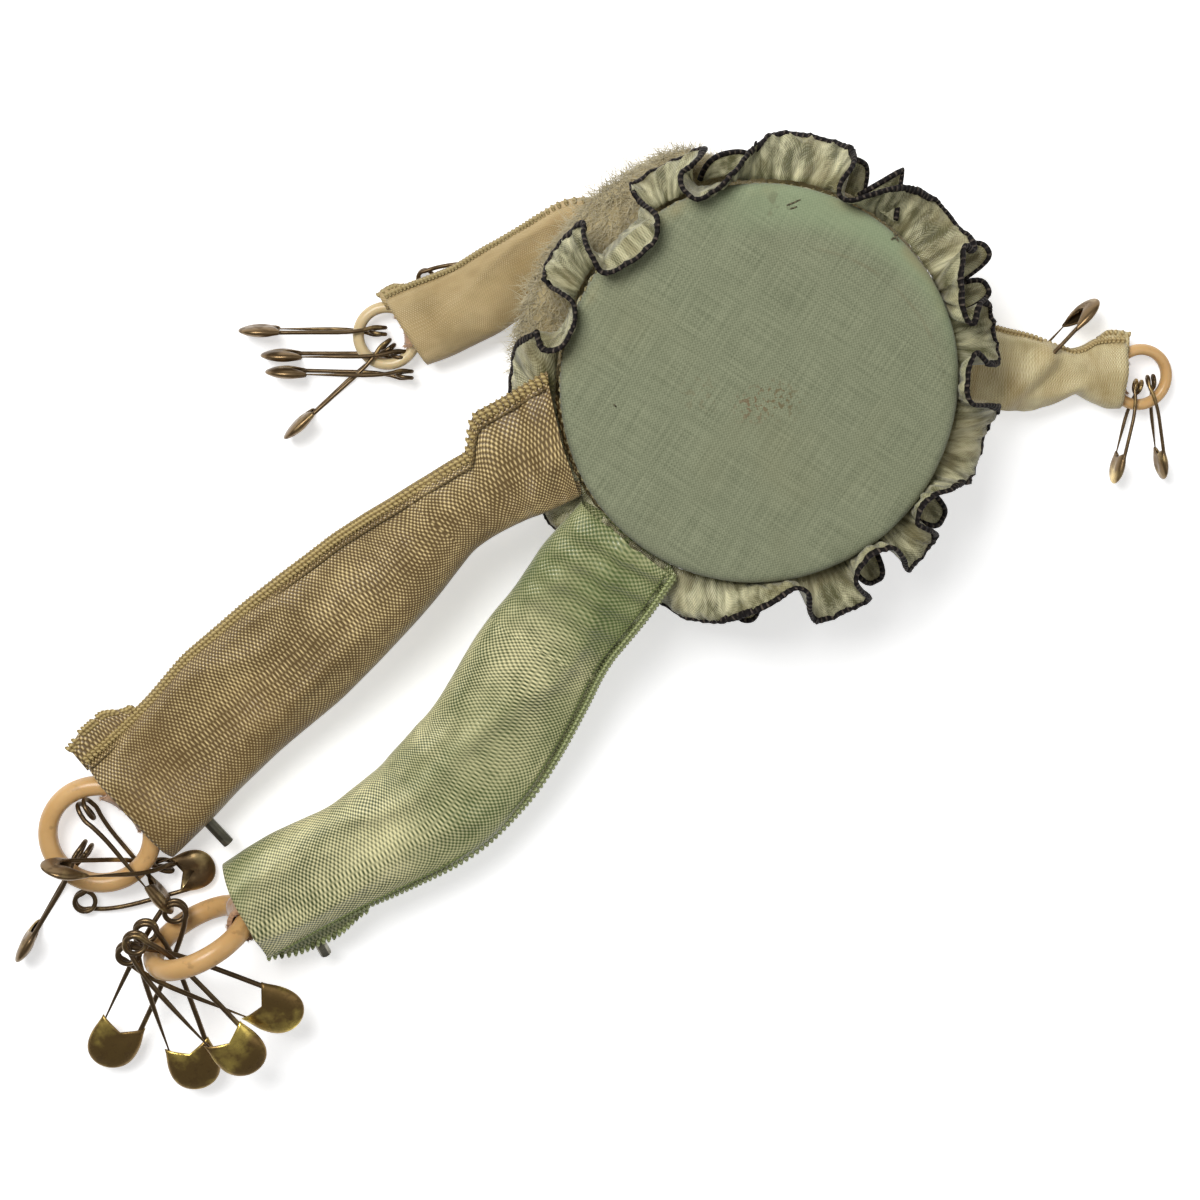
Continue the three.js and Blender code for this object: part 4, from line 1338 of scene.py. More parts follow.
@dataclass
class DownCollar:
    """A strip of white down sewn round the front's side, fullest at the upper left."""

    shape: FrontShape = field(default_factory=FrontShape)
    level: float = -14.9
    half_height: float = 2.0
    width: float = 8.2
    full_side: float = 143.0
    full_spread: float = 54.0
    full_extra: float = 2.4
    cloth_gap: float = 0.95
    fibres: int = 11000

    def build(self) -> None:
        """Builds the core and its fibres."""
        core, steps, sides = Surface(), 160, 14
        rows = []
        for k in range(steps):
            azimuth = 360 * k / steps
            rows.append([self._core(azimuth, 2 * math.pi * s / sides) for s in range(sides)])
        core.grid(rows, even(1.5, steps + 1), even(2.0, sides + 1), wrap=True, loop=True)
        down = SoftHair("matted_down", (206, 192, 152), (132, 114, 74), 220.0).build()
        hairs = SoftHair("white_down", (226, 216, 182), (150, 134, 92), 220.0).build()
        carry(core.piece("down_core", down), "body", "down", "down_collar")
        tufts = Surface()
        rng = random.Random(11)
        for _ in range(self.fibres):
            self._fibre(tufts, rng)
        carry(tufts.piece("down_fibres", hairs), "body", "down")

    def _fullness(self, azimuth: float) -> float:
        """How full the down is, 0 to 1."""
        away = abs((azimuth - self.full_side + 540) % 360 - 180)
        return ease((self.full_spread - away) / 22)

    def _core(self, azimuth: float, angle: float) -> Vector:
        """A point of the lumpy core.

        Args:
            azimuth: in degrees.
            angle: in radians.

        Returns:
            The point.
        """
        inner = self.shape.radius(self.level, self.cloth_gap) + 0.3
        full = self._fullness(azimuth)
        width = self.width * (0.62 + 0.38 * full) + self.full_extra * full
        lump = 1 + 0.12 * rough(azimuth * 0.11, angle * 0.8, 21) + 0.08 * rough(azimuth * 0.4, angle * 2, 22)
        radius = inner + width / 2 * (1 + math.cos(angle) * lump)
        return polar(azimuth, radius, self.level + self.half_height * lump * math.sin(angle))

    def _fibre(self, surface: Surface, rng: random.Random) -> None:
        """Adds one curved fibre.

        Args:
            surface: what it is added to.
            rng: the random source.
        """
        azimuth = rng.uniform(0, 360)
        if rng.random() < 0.55:
            azimuth = self.full_side + rng.uniform(-1, 1) * self.full_spread
        full = self._fullness(azimuth)
        angle = rng.uniform(-1.0, 1.25) * math.pi / 2 * 1.15
        root = self._core(azimuth, angle)
        out = polar(azimuth, math.cos(angle), math.sin(angle))
        spin = Vector((rng.gauss(0, 0.45), rng.gauss(0, 0.45), rng.gauss(0, 0.3)))
        comb = polar(azimuth + 90, 0.5 + 1.1 * rough(azimuth * 0.06, angle, 31), 0)
        heading = (out * 0.34 + comb + spin).normalized()
        length = rng.uniform(1.2, 2.6) + full * rng.uniform(0.2, 2.2)
        curl = Vector((rng.gauss(0, 0.6), rng.gauss(0, 0.6), rng.gauss(-0.1, 0.3))) - out * 0.5
        line = [root + heading * (length * t) + curl * (length * t * t * 0.5) for t in (0.0, 0.35, 0.7, 1.0)]
        surface.tube(line, lambda share: 0.075 * (1.1 - share), 3)


# Ribbon limbs

@dataclass
class RibbonLimb:
    """A flattened ribbon tube with one stitched edge, from its root to its open mouth."""

    name: str
    satin: Satin
    slot: str
    thread: StitchedThread
    azimuth: float
    root_radius: float
    root_level: float
    offsets: Sequence[tuple[float, float, float]]
    # Share of the length, and how far the seam edge and the plain edge lie from the middle line there.
    edges: Sequence[tuple[float, float, float]]
    heights: Sequence[float]
    seam_side: int
    pocket: float
    leg: bool
    end_roll: float = 0.0
    relief: float = 0.8
    stitch_width: float = 2.2
    stitch_pitch: float = 0.92
    slant: float = 0.45
    ear: tuple[float, float] = (0.0, 0.0)
    seed: float = 0.0
    base_turn: float = 0.22
    wall: float = 0.5
    sides: int = 64
    squareness: float = 0.72
    spacing: float = 0.85
    # A pin under the cloth: two ends of its covered length and the level that the cloth keeps over it.
    covered: tuple[tuple[float, float], tuple[float, float], float] | None = None

    def __post_init__(self) -> None:
        """Makes the centre line."""
        root = polar(self.azimuth, self.root_radius, self.root_level)
        self.path = Path([root + Vector(offset) for offset in self.offsets])
        self.base_side = polar(self.azimuth + 90, 1, 0)

    def axes(self, share: float) -> tuple[Vector, Vector, Vector, Vector]:
        """Centre, heading, side and up at a share of the length.

        Args:
            share: from 0 to 1.

        Returns:
            The four vectors.
        """
        heading = self.path.heading(share)
        across = Z.cross(heading).normalized()
        side = across.lerp(self.base_side, max(0.0, 1 - share / self.base_turn)).normalized()
        flat = (heading - side * heading.dot(side)).normalized()
        up = flat.cross(side).normalized()
        roll = math.radians(self.end_roll) * share ** 3
        turned = side * math.cos(roll) + up * math.sin(roll)
        return self.path.at(share), heading, turned, up * math.cos(roll) - side * math.sin(roll)

    def _edge(self, share: float, sign: int) -> float:
        """How far the limb's edge on one side lies from its middle line.

        Args:
            share: from 0 to 1.
            sign: 1 for one side, -1 for the other.

        Returns:
            The distance in mm.
        """
        wobble = 0.3 * rough(share * 6, sign * 3.0, self.seed)
        column = 1 if sign == self.seam_side else 2
        near = [between(self.edges, share + shift, column) for shift in (-0.012, 0.0, 0.012)]
        return sum(near) / 3 + wobble

    def _rise(self, share: float, inset: float) -> float:
        """Height of the cloth's upper side over the middle line, at a distance in from the seam edge.

        Args:
            share: from 0 to 1.
            inset: in mm.

        Returns:
            The height in mm.
        """
        half = self._edge(share, self.seam_side)
        cos = max(0.0, 1 - inset / half) ** (1 / self.squareness)
        tall = math.sqrt(max(0.0, 1 - cos * cos)) ** 0.8
        return along_list(self.heights, share) / 2 * tall * self._pinch(cos)

    @staticmethod
    def _pinch(cos: float) -> float:
        """How much of the tube's height is left towards its seam edge, where cos is 1."""
        return 1 - 0.75 * ease((cos - 0.72) / 0.28)

    def ring(self, share: float, shrink: float = 0.0) -> list[Vector]:
        """Points round the limb at a share of its length, drawn in by shrink, in mm.

        Args:
            share: from 0 to 1.
            shrink: in mm.

        Returns:
            The points.
        """
        centre, _, side, up = self.axes(share)
        height = along_list(self.heights, share) / 2 - shrink
        along = share * self.path.length
        points = []
        for cos, sin in circle(self.sides):
            on_seam = cos * self.seam_side > 0
            half = self._edge(share, 1 if cos > 0 else -1) - shrink
            x = half * math.copysign(abs(cos) ** self.squareness, cos)
            pinch = self._pinch(abs(cos)) if on_seam else 1.0
            z = height * math.copysign(abs(sin) ** 0.8, sin) * pinch
            z += self._relief(along, x, sin > 0) * min(1.0, abs(sin) * 1.6) * (1 if not shrink else 0.6)
            points.append(self._over_pin(centre + side * x + up * z, sin > 0))
        return points

    def _over_pin(self, point: Vector, top: bool) -> Vector:
        """The point, raised where a pin lies under the cloth.

        Args:
            point: a point of the cloth.
            top: true on the upper side.

        Returns:
            The point that is used.
        """
        if not self.covered or not top:
            return point
        first, last = (Vector((*end, 0.0)) for end in self.covered[:2])
        flat = Vector((point.x, point.y, 0.0))
        span = last - first
        part = min(max((flat - first).dot(span) / span.length_squared, 0.0), 1.0)
        away = (flat - first - span * part).length
        return Vector((point.x, point.y, max(point.z, self.covered[2] - 0.3 * away * away)))

    def _relief(self, along: float, across: float, top: bool) -> float:
        """Height of the cloth's wrinkles in mm.

        Args:
            along: from the root, in mm.
            across: from the middle line.
            top: true on the upper side.

        Returns:
            The height.
        """
        seed = self.seed + (0 if top else 31)
        slant = along * 0.8 + across * 0.7 * self.seam_side
        broad = rough(along * 0.026, across * 0.085, seed)
        folds = max(0.0, 1 - 2.6 * abs(rough(slant * 0.035, across * 0.09, seed + 5))) ** 2
        small = rough(along * 0.12, across * 0.16, seed + 9)
        near_root = math.exp(-along / 13)
        near_mouth = math.exp(-(self.path.length - along) / 9)
        pleats = 0.8 * near_root * math.sin(along * 1.25 + across * 0.16 * self.seam_side + self.seed)
        pleats += 0.25 * near_mouth * math.sin(across * 0.9 + along * 0.3)
        return self.relief * (0.8 * broad + 0.95 * folds + 0.12 * small + 0.7 * pleats - 0.3)

    def build(self) -> None:
        """Builds the sleeve in the stretches that its joints need, each with its stitched edge."""
        satin, thread = self.satin.build(), self.thread.build()
        if not self.leg:
            self._stretch("ribbon", satin, thread, 0.0, 1.0, "body", self.name, 0.0, 0.3,
                          (f"{self.name}_sleeve",))
            return
        self._stretch("ribbon_top", satin, thread, 0.0, 0.25, "body", f"{self.name}_upper", 0.0, 0.14,
                      (f"{self.name}_upper_sleeve",))
        self._stretch("ribbon", satin, thread, 0.25, 1.0, f"{self.name}_upper", f"{self.name}_lower",
                      0.42, 0.58, (f"{self.name}_lower_sleeve",))

    def _stretch(self, part: str, satin: bpy.types.Material, thread: bpy.types.Material, start: float,
                 stop: float, near: str, far: str, bend_from: float, bend_to: float,
                 nodes: tuple[str, ...]) -> None:
        """Builds one stretch between two shares.

        Args:
            part: the word in its names.
            satin, thread: the finishes.
            start, stop: its ends, from 0 to 1.
            near, far: the bodies at its root and its end.
            bend_from, bend_to: shares whose points are computed and not used.
            nodes: the nodes that it replaces.
        """
        surface = Surface()
        count = max(4, round((stop - start) * self.path.length / self.spacing))
        shares = [lerp(start, stop, k / count) for k in range(count + 1)]
        rows = [self.ring(share) for share in shares]
        along = [share * self.path.length for share in shares]
        if stop == 1.0:
            depth = self.pocket / self.path.length
            for part_in in (0.0, 0.25, 0.6, 1.0):
                rows.append(self.ring(1 - depth * part_in, self.wall))
                along.append(along[-1] + 0.5)
        girth = 2 * max(self._edge(share, 1) + self._edge(share, -1) for share in shares) + 1
        surface.grid(rows, along, [girth * k / self.sides for k in range(self.sides + 1)], wrap=True)
        sleeve = surface.piece(f"{self.name}_{part}", satin)
        # Painted shadow: a darker copy of the thread for the line between the stitches and the satin, where
        # shade falls.
        shadow_line_tone = tuple(value * 0.68 for value in self.thread.deep)
        dark = StitchedThread(f"{self.name}_{part}_painted_shadow_line", self.thread.deep, shadow_line_tone).build()
        stitches = self._stitching(start, stop).piece(f"{self.name}_{part}_stitches", thread, dark)
        for made in (sleeve, stitches):
            tuple(self.path.at(bend_from) * MM)
            tuple(self.path.at(bend_to) * MM)
            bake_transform(made)
        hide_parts(*nodes)
        sewn = [stitches] + (self._ear(satin, thread) if stop == 1.0 else [])
        girth * MM
        log.info("%s bends between %s and %s", sleeve.name, near, far)

    def _stitching(self, start: float, stop: float) -> Surface:
        """Builds the overcast stitches along the seam edge, and beside them a dark thread that paints the
        shadow between the stitches and the satin.

        Args:
            start, stop: their ends, from 0 to 1.

        Returns:
            The stitches.
        """
        surface = Surface()
        count = round((stop - start) * self.path.length / self.stitch_pitch)
        groove = []
        for k in range(count):
            share = lerp(start, stop, (k + 0.5) / count)
            centre, heading, side, up = self.axes(share)
            outward = side * self.seam_side
            edge = self._edge(share, self.seam_side)
            lean = self.slant + 0.12 * rough(k * 0.7, self.seed)
            rise = self._rise(share, self.stitch_width) + 0.1
            inner = centre + outward * (edge - self.stitch_width) + up * rise
            outer = centre + outward * (edge + 0.55) + up * 0.15
            along = (outer - inner + heading * lean * self.stitch_width).normalized()
            across = up.cross(along).normalized()
            size = (self.stitch_width * 0.62, self.stitch_pitch * 0.56, 0.55)
            surface.bead(inner.lerp(outer, 0.5), along, across, size)
            groove.append(inner - outward * 0.25 + up * 0.12)
        # The groove tube is that painted shadow line, on legs only.
        if self.leg:
            surface.tube(groove, 0.2, 6, slot=1)
        return surface

    def _ear(self, satin: bpy.types.Material, thread: bpy.types.Material) -> list[bpy.types.Object]:
        """Builds the stitched corner that is folded back at the mouth.

        Args:
            satin, thread: the finishes.

        Returns:
            The flap and its stitches.
        """
        length, reach = self.ear
        body = f"{self.name}_lower" if self.leg else self.name
        flap, beads, rows, rim = Surface(), Surface(), [], []
        steps = 18
        for k in range(steps + 1):
            part = k / steps
            share = min(1.0, 1 - length * (1 - part) / self.path.length)
            centre, heading, side, up = self.axes(share)
            outward = side * self.seam_side
            edge = self._edge(share, self.seam_side)
            middle = centre + outward * edge + heading * (0.8 * ease(part * 3 - 2))
            wide = reach * (0.25 + 0.75 * ease(part * 2.4)) * (1 - 0.25 * ease(part * 4 - 3))
            lift = 0.5 + 0.5 * rough(part * 3, self.seed)
            row = []
            for across, high in ((-2.6, 1.4), (-1.0, 1.2), (0.45, 0.9), (0.85, 0.6), (1.0, 0.1), (0.85, -0.5),
                                 (0.45, -0.9), (-1.0, -0.7), (-2.6, 0.2)):
                reached = wide * across if across > 0 else across
                row.append(middle + outward * reached + up * (high + lift * 0.6))
            rows.append(row)
            rim.append((middle + outward * wide + up * (0.1 + lift * 0.6), heading, outward, up))
        flap.grid(rows, [k * length / steps for k in range(steps + 1)], even(1.1, 10), wrap=True)
        flap.cap(0, 9)
        flap.cap(steps * 9, 9)
        count = round(length / self.stitch_pitch)
        for k in range(count + 1):
            spot, heading, outward, up = rim[round(k * steps / count)]
            along = (outward + heading * self.slant).normalized()
            beads.bead(spot - outward * 0.5 + up * 0.45, along, up.cross(along).normalized(),
                       (self.stitch_width * 0.52, self.stitch_pitch * 0.54, 0.55))
        return [carry(flap.piece(f"{self.name}_folded_corner", satin), body, self.slot),
                carry(beads.piece(f"{self.name}_corner_stitches", thread), body, self.slot)]


# Rings and the cloth that holds them

def joint_called(name: str) -> dict:
    """The frame's joint of a name."""
    return next(joint for joint in frame["joints"] if joint["name"] == name)


def millimetres(values: Sequence[float]) -> Vector:
    """A point of the frame in mm."""
    return Vector(values) / MM


def middle_of(node: str) -> Vector:
    """The middle of a node's box, in mm."""
    low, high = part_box(node)
    return (millimetres(low) + millimetres(high)) / 2


@dataclass
class Ring:
    """A plastic ring that hangs from a limb's mouth, with the flannel loop that holds it."""

    limb: str
    body: str
    plastic: RingPlastic
    slot: str
    radius: float
    half_width: float
    half_height: float
    flannel_width: float
    flannel_length: float
    flannel_thickness: float
    gap: float
    least_flat: float = 0.01
    hairs: int = 420
    steps: int = 96
    sides: int = 20

    def __post_init__(self) -> None:
        """Finds the ring's place from its hinge and its solid."""
        hinge = joint_called(f"{self.limb}_ring_flip")
        self.bar = millimetres(hinge["pos_m"])
        self.across = -Vector(hinge["axis"]).normalized()
        self.centre = middle_of(f"{self.limb}_ring")
        out = self.centre - self.bar
        self.out = (out - self.across * out.dot(self.across)).normalized()
        self.normal = self.out.cross(self.across).normalized()

    def build(self) -> None:
        """Builds the ring and its flannel."""
        surface = Surface()
        rows = [self._section(2 * math.pi * k / self.steps) for k in range(self.steps)]
        surface.grid(rows, even(0.5, self.steps + 1), even(0.6, self.sides + 1), wrap=True, loop=True)
        node = f"{self.limb}_ring"
        carry(surface.piece(f"{self.limb}_plastic_ring", self.plastic.build()), node, self.slot, node)
        self._flannel()

    def _section(self, angle: float) -> list[Vector]:
        """Points round the ring's bar at an angle round the ring.

        Args:
            angle: in radians.

        Returns:
            The points.
        """
        away = self.out * math.cos(angle) + self.across * math.sin(angle)
        wear = 1 + 0.02 * rough(math.cos(angle) * 2, math.sin(angle) * 2, self.radius)
        points = []
        for cos, sin in circle(self.sides):
            wide = self.half_width * math.copysign(abs(cos) ** 0.9, cos) * wear
            tall = self.half_height * math.copysign(abs(sin) ** 0.9, sin)
            points.append(self.centre + away * (self.radius + wide) + self.normal * tall)
        return points

    def _flannel(self) -> None:
        """Builds the flannel loop round the ring's bar, with its nap."""
        half = self.flannel_thickness / 2
        reach = self.half_width + self.gap + half
        rise = self.half_height + self.gap + half
        profile = [(-self.flannel_length * s, lerp(rise * 0.62, rise, 1 - s) if s < 1 else 0.9)
                   for s in (1.0, 0.75, 0.5, 0.25)]
        profile += [(reach * math.cos(a), rise * math.sin(a)) for a in
                    (math.radians(90 - 15 * k) for k in range(13))]
        profile += [(u, -v) for u, v in reversed(profile[:4])]
        strip, rows = Surface(), []
        columns = 14
        for index, (u, v) in enumerate(profile):
            row = []
            for c in range(columns + 1):
                side = self.flannel_width * (c / columns - 0.5) * (1 + 0.05 * rough(index * 0.4, c * 0.2, 3))
                curve = self.radius - math.sqrt(max(self.radius ** 2 - side * side, 0.1))
                lump = 0.22 * rough(side * 0.5, index * 0.5, self.radius)
                row.append(self.bar + self.out * (u + curve * 0.9) + self.normal * (v + lump)
                           + self.across * side)
            rows.append(row)
        along = [0.0]
        for (u, v), (p, q) in zip(profile, profile[1:]):
            along.append(along[-1] + math.hypot(p - u, q - v))
        strip.grid(rows, along, [self.flannel_width * c / columns for c in range(columns + 1)])
        nap = SoftHair(f"{self.limb}_flannel_nap", (214, 178, 142), (160, 118, 88)).build()
        cloth = strip.piece(f"{self.limb}_flannel_loop", nap, thickness=self.flannel_thickness)
        carry(cloth, self.body, "flannel", f"{self.limb}_flannel")
        fuzz = Surface()
        rng = random.Random(len(self.limb) + round(self.radius * 10))
        for _ in range(self.hairs):
            row = rng.randrange(2, len(rows) - 2)
            column = rng.choice((0, columns, rng.randrange(columns + 1)))
            root = rows[row][column]
            lift = (root - self.bar - self.across * (root - self.bar).dot(self.across)).normalized()
            away = self.across * (column / columns - 0.5) * 1.6
            stray = Vector([rng.gauss(0, 0.5) for _ in range(3)])
            tip = root + (lift + away + stray).normalized() * rng.uniform(0.5, 1.1)
            fuzz.tube([root, root.lerp(tip, 0.5) + lift * 0.1, tip], lambda share: 0.07 * (1.1 - share), 3)
        hairs = carry(fuzz.piece(f"{self.limb}_flannel_fuzz", nap), self.body, "flannel")


# Safety pins

class Mouth(Enum):
    """How a pin cap's front edge is cut."""

    SHALLOW = 0.5
    DEEP = 0.75


@dataclass(frozen=True)
class PinSize:
    """Sizes of one kind of safety pin."""

    wire: float
    coil: float
    pitch: float
    flare: float
    flare_length: float
    cap_start: float
    cap_end: float
    cap_half: float
    cap_mouth: float
    cap_thickness: float

    def spread(self, along: float) -> float:
        """Half the distance between the wires at a place along the pin."""
        return self.coil + self.flare * (1 - math.exp(-along / self.flare_length))

    def arm(self, side: int) -> list[Vector]:
        """Points of the back (-1) or point (1) wire, from the coil to the cap.

        Args:
            side: -1 or 1.

        Returns:
            The points.
        """
        straight = 1.6 * self.flare_length
        inside = self.cap_start + 0.35 * (self.cap_end - self.cap_start)
        places = (0.25 * self.flare_length, 0.7 * self.flare_length, straight,
                  0.5 * (straight + self.cap_start), inside)
        lifts = (1.0, 0.55, 0.1, 0.03, 0.0)
        return [Vector((u, side * self.spread(u), side * 0.75 * self.pitch * lift))
                for u, lift in zip(places, lifts)]

    def turn(self, start: float, stop: float) -> list[Vector]:
        """Points of the coil between two angles.

        Args:
            start, stop: in degrees.

        Returns:
            The points.
        """
        count = round((stop - start) / 18)
        made = []
        for k in range(count + 1):
            angle = lerp(start, stop, k / count)
            t = math.radians(-90 - angle)
            rise = self.pitch * (angle / 360 - 0.75)
            made.append(Vector((self.coil * math.cos(t), self.coil * math.sin(t), rise)))
        return made


LEG_PIN = PinSize(0.5, 2.0, 1.45, 1.6, 5.0, 25.0, 35.5, 4.9, 4.3, 3.0)
MIDDLE_PIN = PinSize(0.45, 1.9, 1.4, 1.5, 4.0, 17.6, 25.6, 4.0, 3.5, 2.7)
ARM_PIN = PinSize(0.38, 1.35, 1.2, 1.15, 3.5, 17.6, 25.2, 3.5, 3.0, 2.3)
SMALL_PIN = PinSize(0.34, 1.2, 1.1, 1.15, 3.2, 12.6, 18.6, 2.9, 2.5, 2.0)


@dataclass
class SafetyPin:
    """A brass-plated safety pin: a coil, two wires and a folded cap."""

    name: str
    size: PinSize
    body: str
    mouth: Mouth = Mouth.SHALLOW
    coil: Vector = field(default_factory=Vector)
    along: Vector = field(default_factory=Vector)
    axis: Vector = field(default_factory=Vector)
    jointed: bool = True
    fastener: bool = False
    steps: int = 22
    sides: int = 28
    wall: float = 0.32

    def __post_init__(self) -> None:
        """Finds a jointed pin's place from its own hinges."""
        if self.jointed:
            opening = joint_called(f"{self.name}_open")
            self.coil = millimetres(opening["pos_m"])
            self.axis = Vector(opening["axis"]).normalized()
            self.along = millimetres(joint_called(f"{self.name}_swing")["pos_m"]) - self.coil
        self.along = (self.along - self.axis * self.along.dot(self.axis)).normalized()
        self.side = self.axis.cross(self.along)

    def _at(self, point: Vector) -> Vector:
        """A point of the pin in the frame."""
        return self.coil + self.along * point.x + self.side * point.y + self.axis * point.z

    def build(self, wire: bpy.types.Material, brass: bpy.types.Material) -> None:
        """Builds the two wires and the cap.

        Args:
            wire: the wires' finish.
            brass: the cap's finish.
        """
        back = [*reversed(self.size.arm(-1)), *self.size.turn(0, 378)]
        front = [*self.size.turn(378, 540), *self.size.arm(1)]
        moving = f"{self.name}_point" if self.jointed else self.body
        for part, line, body in (("back", back, self.body), ("point", front, moving)):
            surface = Surface()
            dense = smooth_path([self._at(point) for point in line], 3)
            sharp = 0.75 if part == "point" else 0.0
            surface.tube(dense, lambda share: self.size.wire * (1 - sharp * ease((share - 0.9) / 0.1)), 12)
            nodes = (f"{self.name}_{part}_wire",) if self.jointed else ()
            if self.fastener and part == "back":
                nodes = (f"{self.name}_wire",)
            carry(surface.piece(f"{self.name}_{part}_steel", wire), body, "pin_wire", *nodes)
        nodes = (f"{self.name}_cap",) if self.jointed or self.fastener else ()
        carry(self._cap().piece(f"{self.name}_brass_cap", brass), self.body, "pin_brass", *nodes)

    def _outline(self, share: float) -> float:
        """The cap's half width at a share of its length.

        Args:
            share: from 0 to 1.

        Returns:
            The half width in mm.
        """
        s = self.size
        if share < 0.45:
            return lerp(s.cap_mouth, s.cap_half, ease(share / 0.45))
        left = (share - 0.45) / 0.55
        return s.cap_half * math.sqrt(max(0.0, 1 - left ** 2.4))

    def _cap_row(self, share: float, shrink: float) -> list[Vector]:
        """Points round the cap at a share of its length, drawn in by the wall where shrink is set.

        Args:
            share: from 0 to 1.
            shrink: in mm.

        Returns:
            The points.
        """
        s = self.size
        half = max(self._outline(share) - shrink, 0.05)
        swell = 0.72 + 0.28 * math.sin(math.pi * min(share / 0.9, 1.0))
        swell *= math.sqrt(max(0.0, 1 - share ** 5))
        tall = max(s.cap_thickness / 2 * swell - shrink, 0.03)
        row = []
        for cos, sin in circle(self.sides):
            x = half * math.copysign(abs(cos) ** 0.85, cos)
            cut = self.mouth.value * (1 - abs(x) / s.cap_mouth) * (1 - share) ** 1.5
            dent = 0.3 * math.exp(-(x / (0.28 * s.cap_half)) ** 2)
            dent = 1 - dent * ease(share / 0.25) * ease((0.85 - share) / 0.3)
            along = lerp(s.cap_start, s.cap_end, share + cut * (1 - share) * (1 if sin > 0 else 0.4))
            row.append(self._at(Vector((along, x, tall * sin * dent))))
        return row

    def _cap(self) -> Surface:
        """Builds the hollow cap.

        Returns:
            The cap, open at its mouth.
        """
        surface = Surface()
        rows = [self._cap_row(0.82 * (1 - k / 8), self.wall) for k in range(9)]
        rows += [self._cap_row(min(0.995, math.sin(math.pi / 2 * k / self.steps)), 0.0)
                 for k in range(self.steps + 1)]
        surface.grid(rows, even(0.5, len(rows)), even(0.4, self.sides + 1), wrap=True)
        surface.cap(0, self.sides)
        surface.cap(len(surface.points) - self.sides, self.sides)
        return surface


@dataclass
class PinBunch:
    """All safety pins, those that swing and open and those that only hang with their ring."""

    jointed: Sequence[tuple[str, PinSize, Mouth]] = (
        ("left_leg_pin_1", MIDDLE_PIN, Mouth.DEEP), ("left_leg_pin_2", MIDDLE_PIN, Mouth.SHALLOW),
        ("right_leg_pin_1", LEG_PIN, Mouth.SHALLOW), ("right_leg_pin_2", LEG_PIN, Mouth.SHALLOW),
        ("right_leg_pin_3", LEG_PIN, Mouth.SHALLOW), ("right_leg_pin_4", LEG_PIN, Mouth.SHALLOW),
        ("left_arm_pin_1", ARM_PIN, Mouth.SHALLOW), ("left_arm_pin_2", ARM_PIN, Mouth.SHALLOW),
        ("right_arm_pin_1", SMALL_PIN, Mouth.SHALLOW), ("right_arm_pin_2", SMALL_PIN, Mouth.SHALLOW))
    # Name, size, ring, coil, a point towards the cap, and whether the pin stands on its edge.
    loose: Sequence[tuple[str, PinSize, str, Sequence[float], Sequence[float], bool]] = (
        ("left_leg_slanted_pin", MIDDLE_PIN, "left_leg_ring",
         (-122.6, -81.6, -24.4), (-109.6, -99.4, -24.4), True),
        ("left_leg_flat_pin", MIDDLE_PIN, "left_leg_ring",
         (-124.3, -101.0, -28.3), (-112.0, -97.6, -28.3), False),
        ("left_arm_low_pin", ARM_PIN, "left_arm_ring",
         (-62.0, -0.4, -25.1), (-87.0, 0.4, -25.1), True),
        ("left_arm_lowest_pin", ARM_PIN, "left_arm_ring",
         (-62.8, 3.0, -26.6), (-87.0, 3.2, -26.6), True))
    # The pins that hold the arms' cloth: limb, coil, direction of the pin, axis of its coil.
    fasteners: Sequence[tuple[str, Sequence[float], Sequence[float], Sequence[float]]] = (
        ("left_arm", (-57.8, 16.8, -28.5), (0.99, 0.04, 0.13), (-0.12, -0.08, 0.99)),
        ("right_arm", (48.2, -5.5, -21.0), (0.7, 0.7, -0.12), (-0.69, 0.71, 0.14)))

    def build(self) -> None:
        """Builds each pin."""
        wire = TarnishedMetal("pin_wire", (216, 184, 122), (100, 82, 58), 0.45).build()
        brass = TarnishedMetal("pin_brass", (255, 226, 120), (134, 108, 64), 0.52).build()
        bronze = TarnishedMetal("pin_bronze", (246, 218, 152), (122, 100, 70), 0.5).build()
        for name, size, mouth in self.jointed:
            SafetyPin(name, size, name, mouth).build(wire, brass if size is LEG_PIN else bronze)
        for name, size, body, coil, tip, on_edge in self.loose:
            along = (Vector(tip) - Vector(coil)).normalized()
            axis = along.cross(Z).normalized() if on_edge else Z
            SafetyPin(name, size, body, coil=Vector(coil), along=along, axis=axis,
                      jointed=False).build(wire, bronze)
        for limb, coil, along, axis in self.fasteners:
            SafetyPin(f"{limb}_sleeve_pin", ARM_PIN, limb, Mouth.DEEP, Vector(coil), Vector(along),
                      Vector(axis), jointed=False, fastener=True).build(wire, bronze)


# The whole doll and its stage

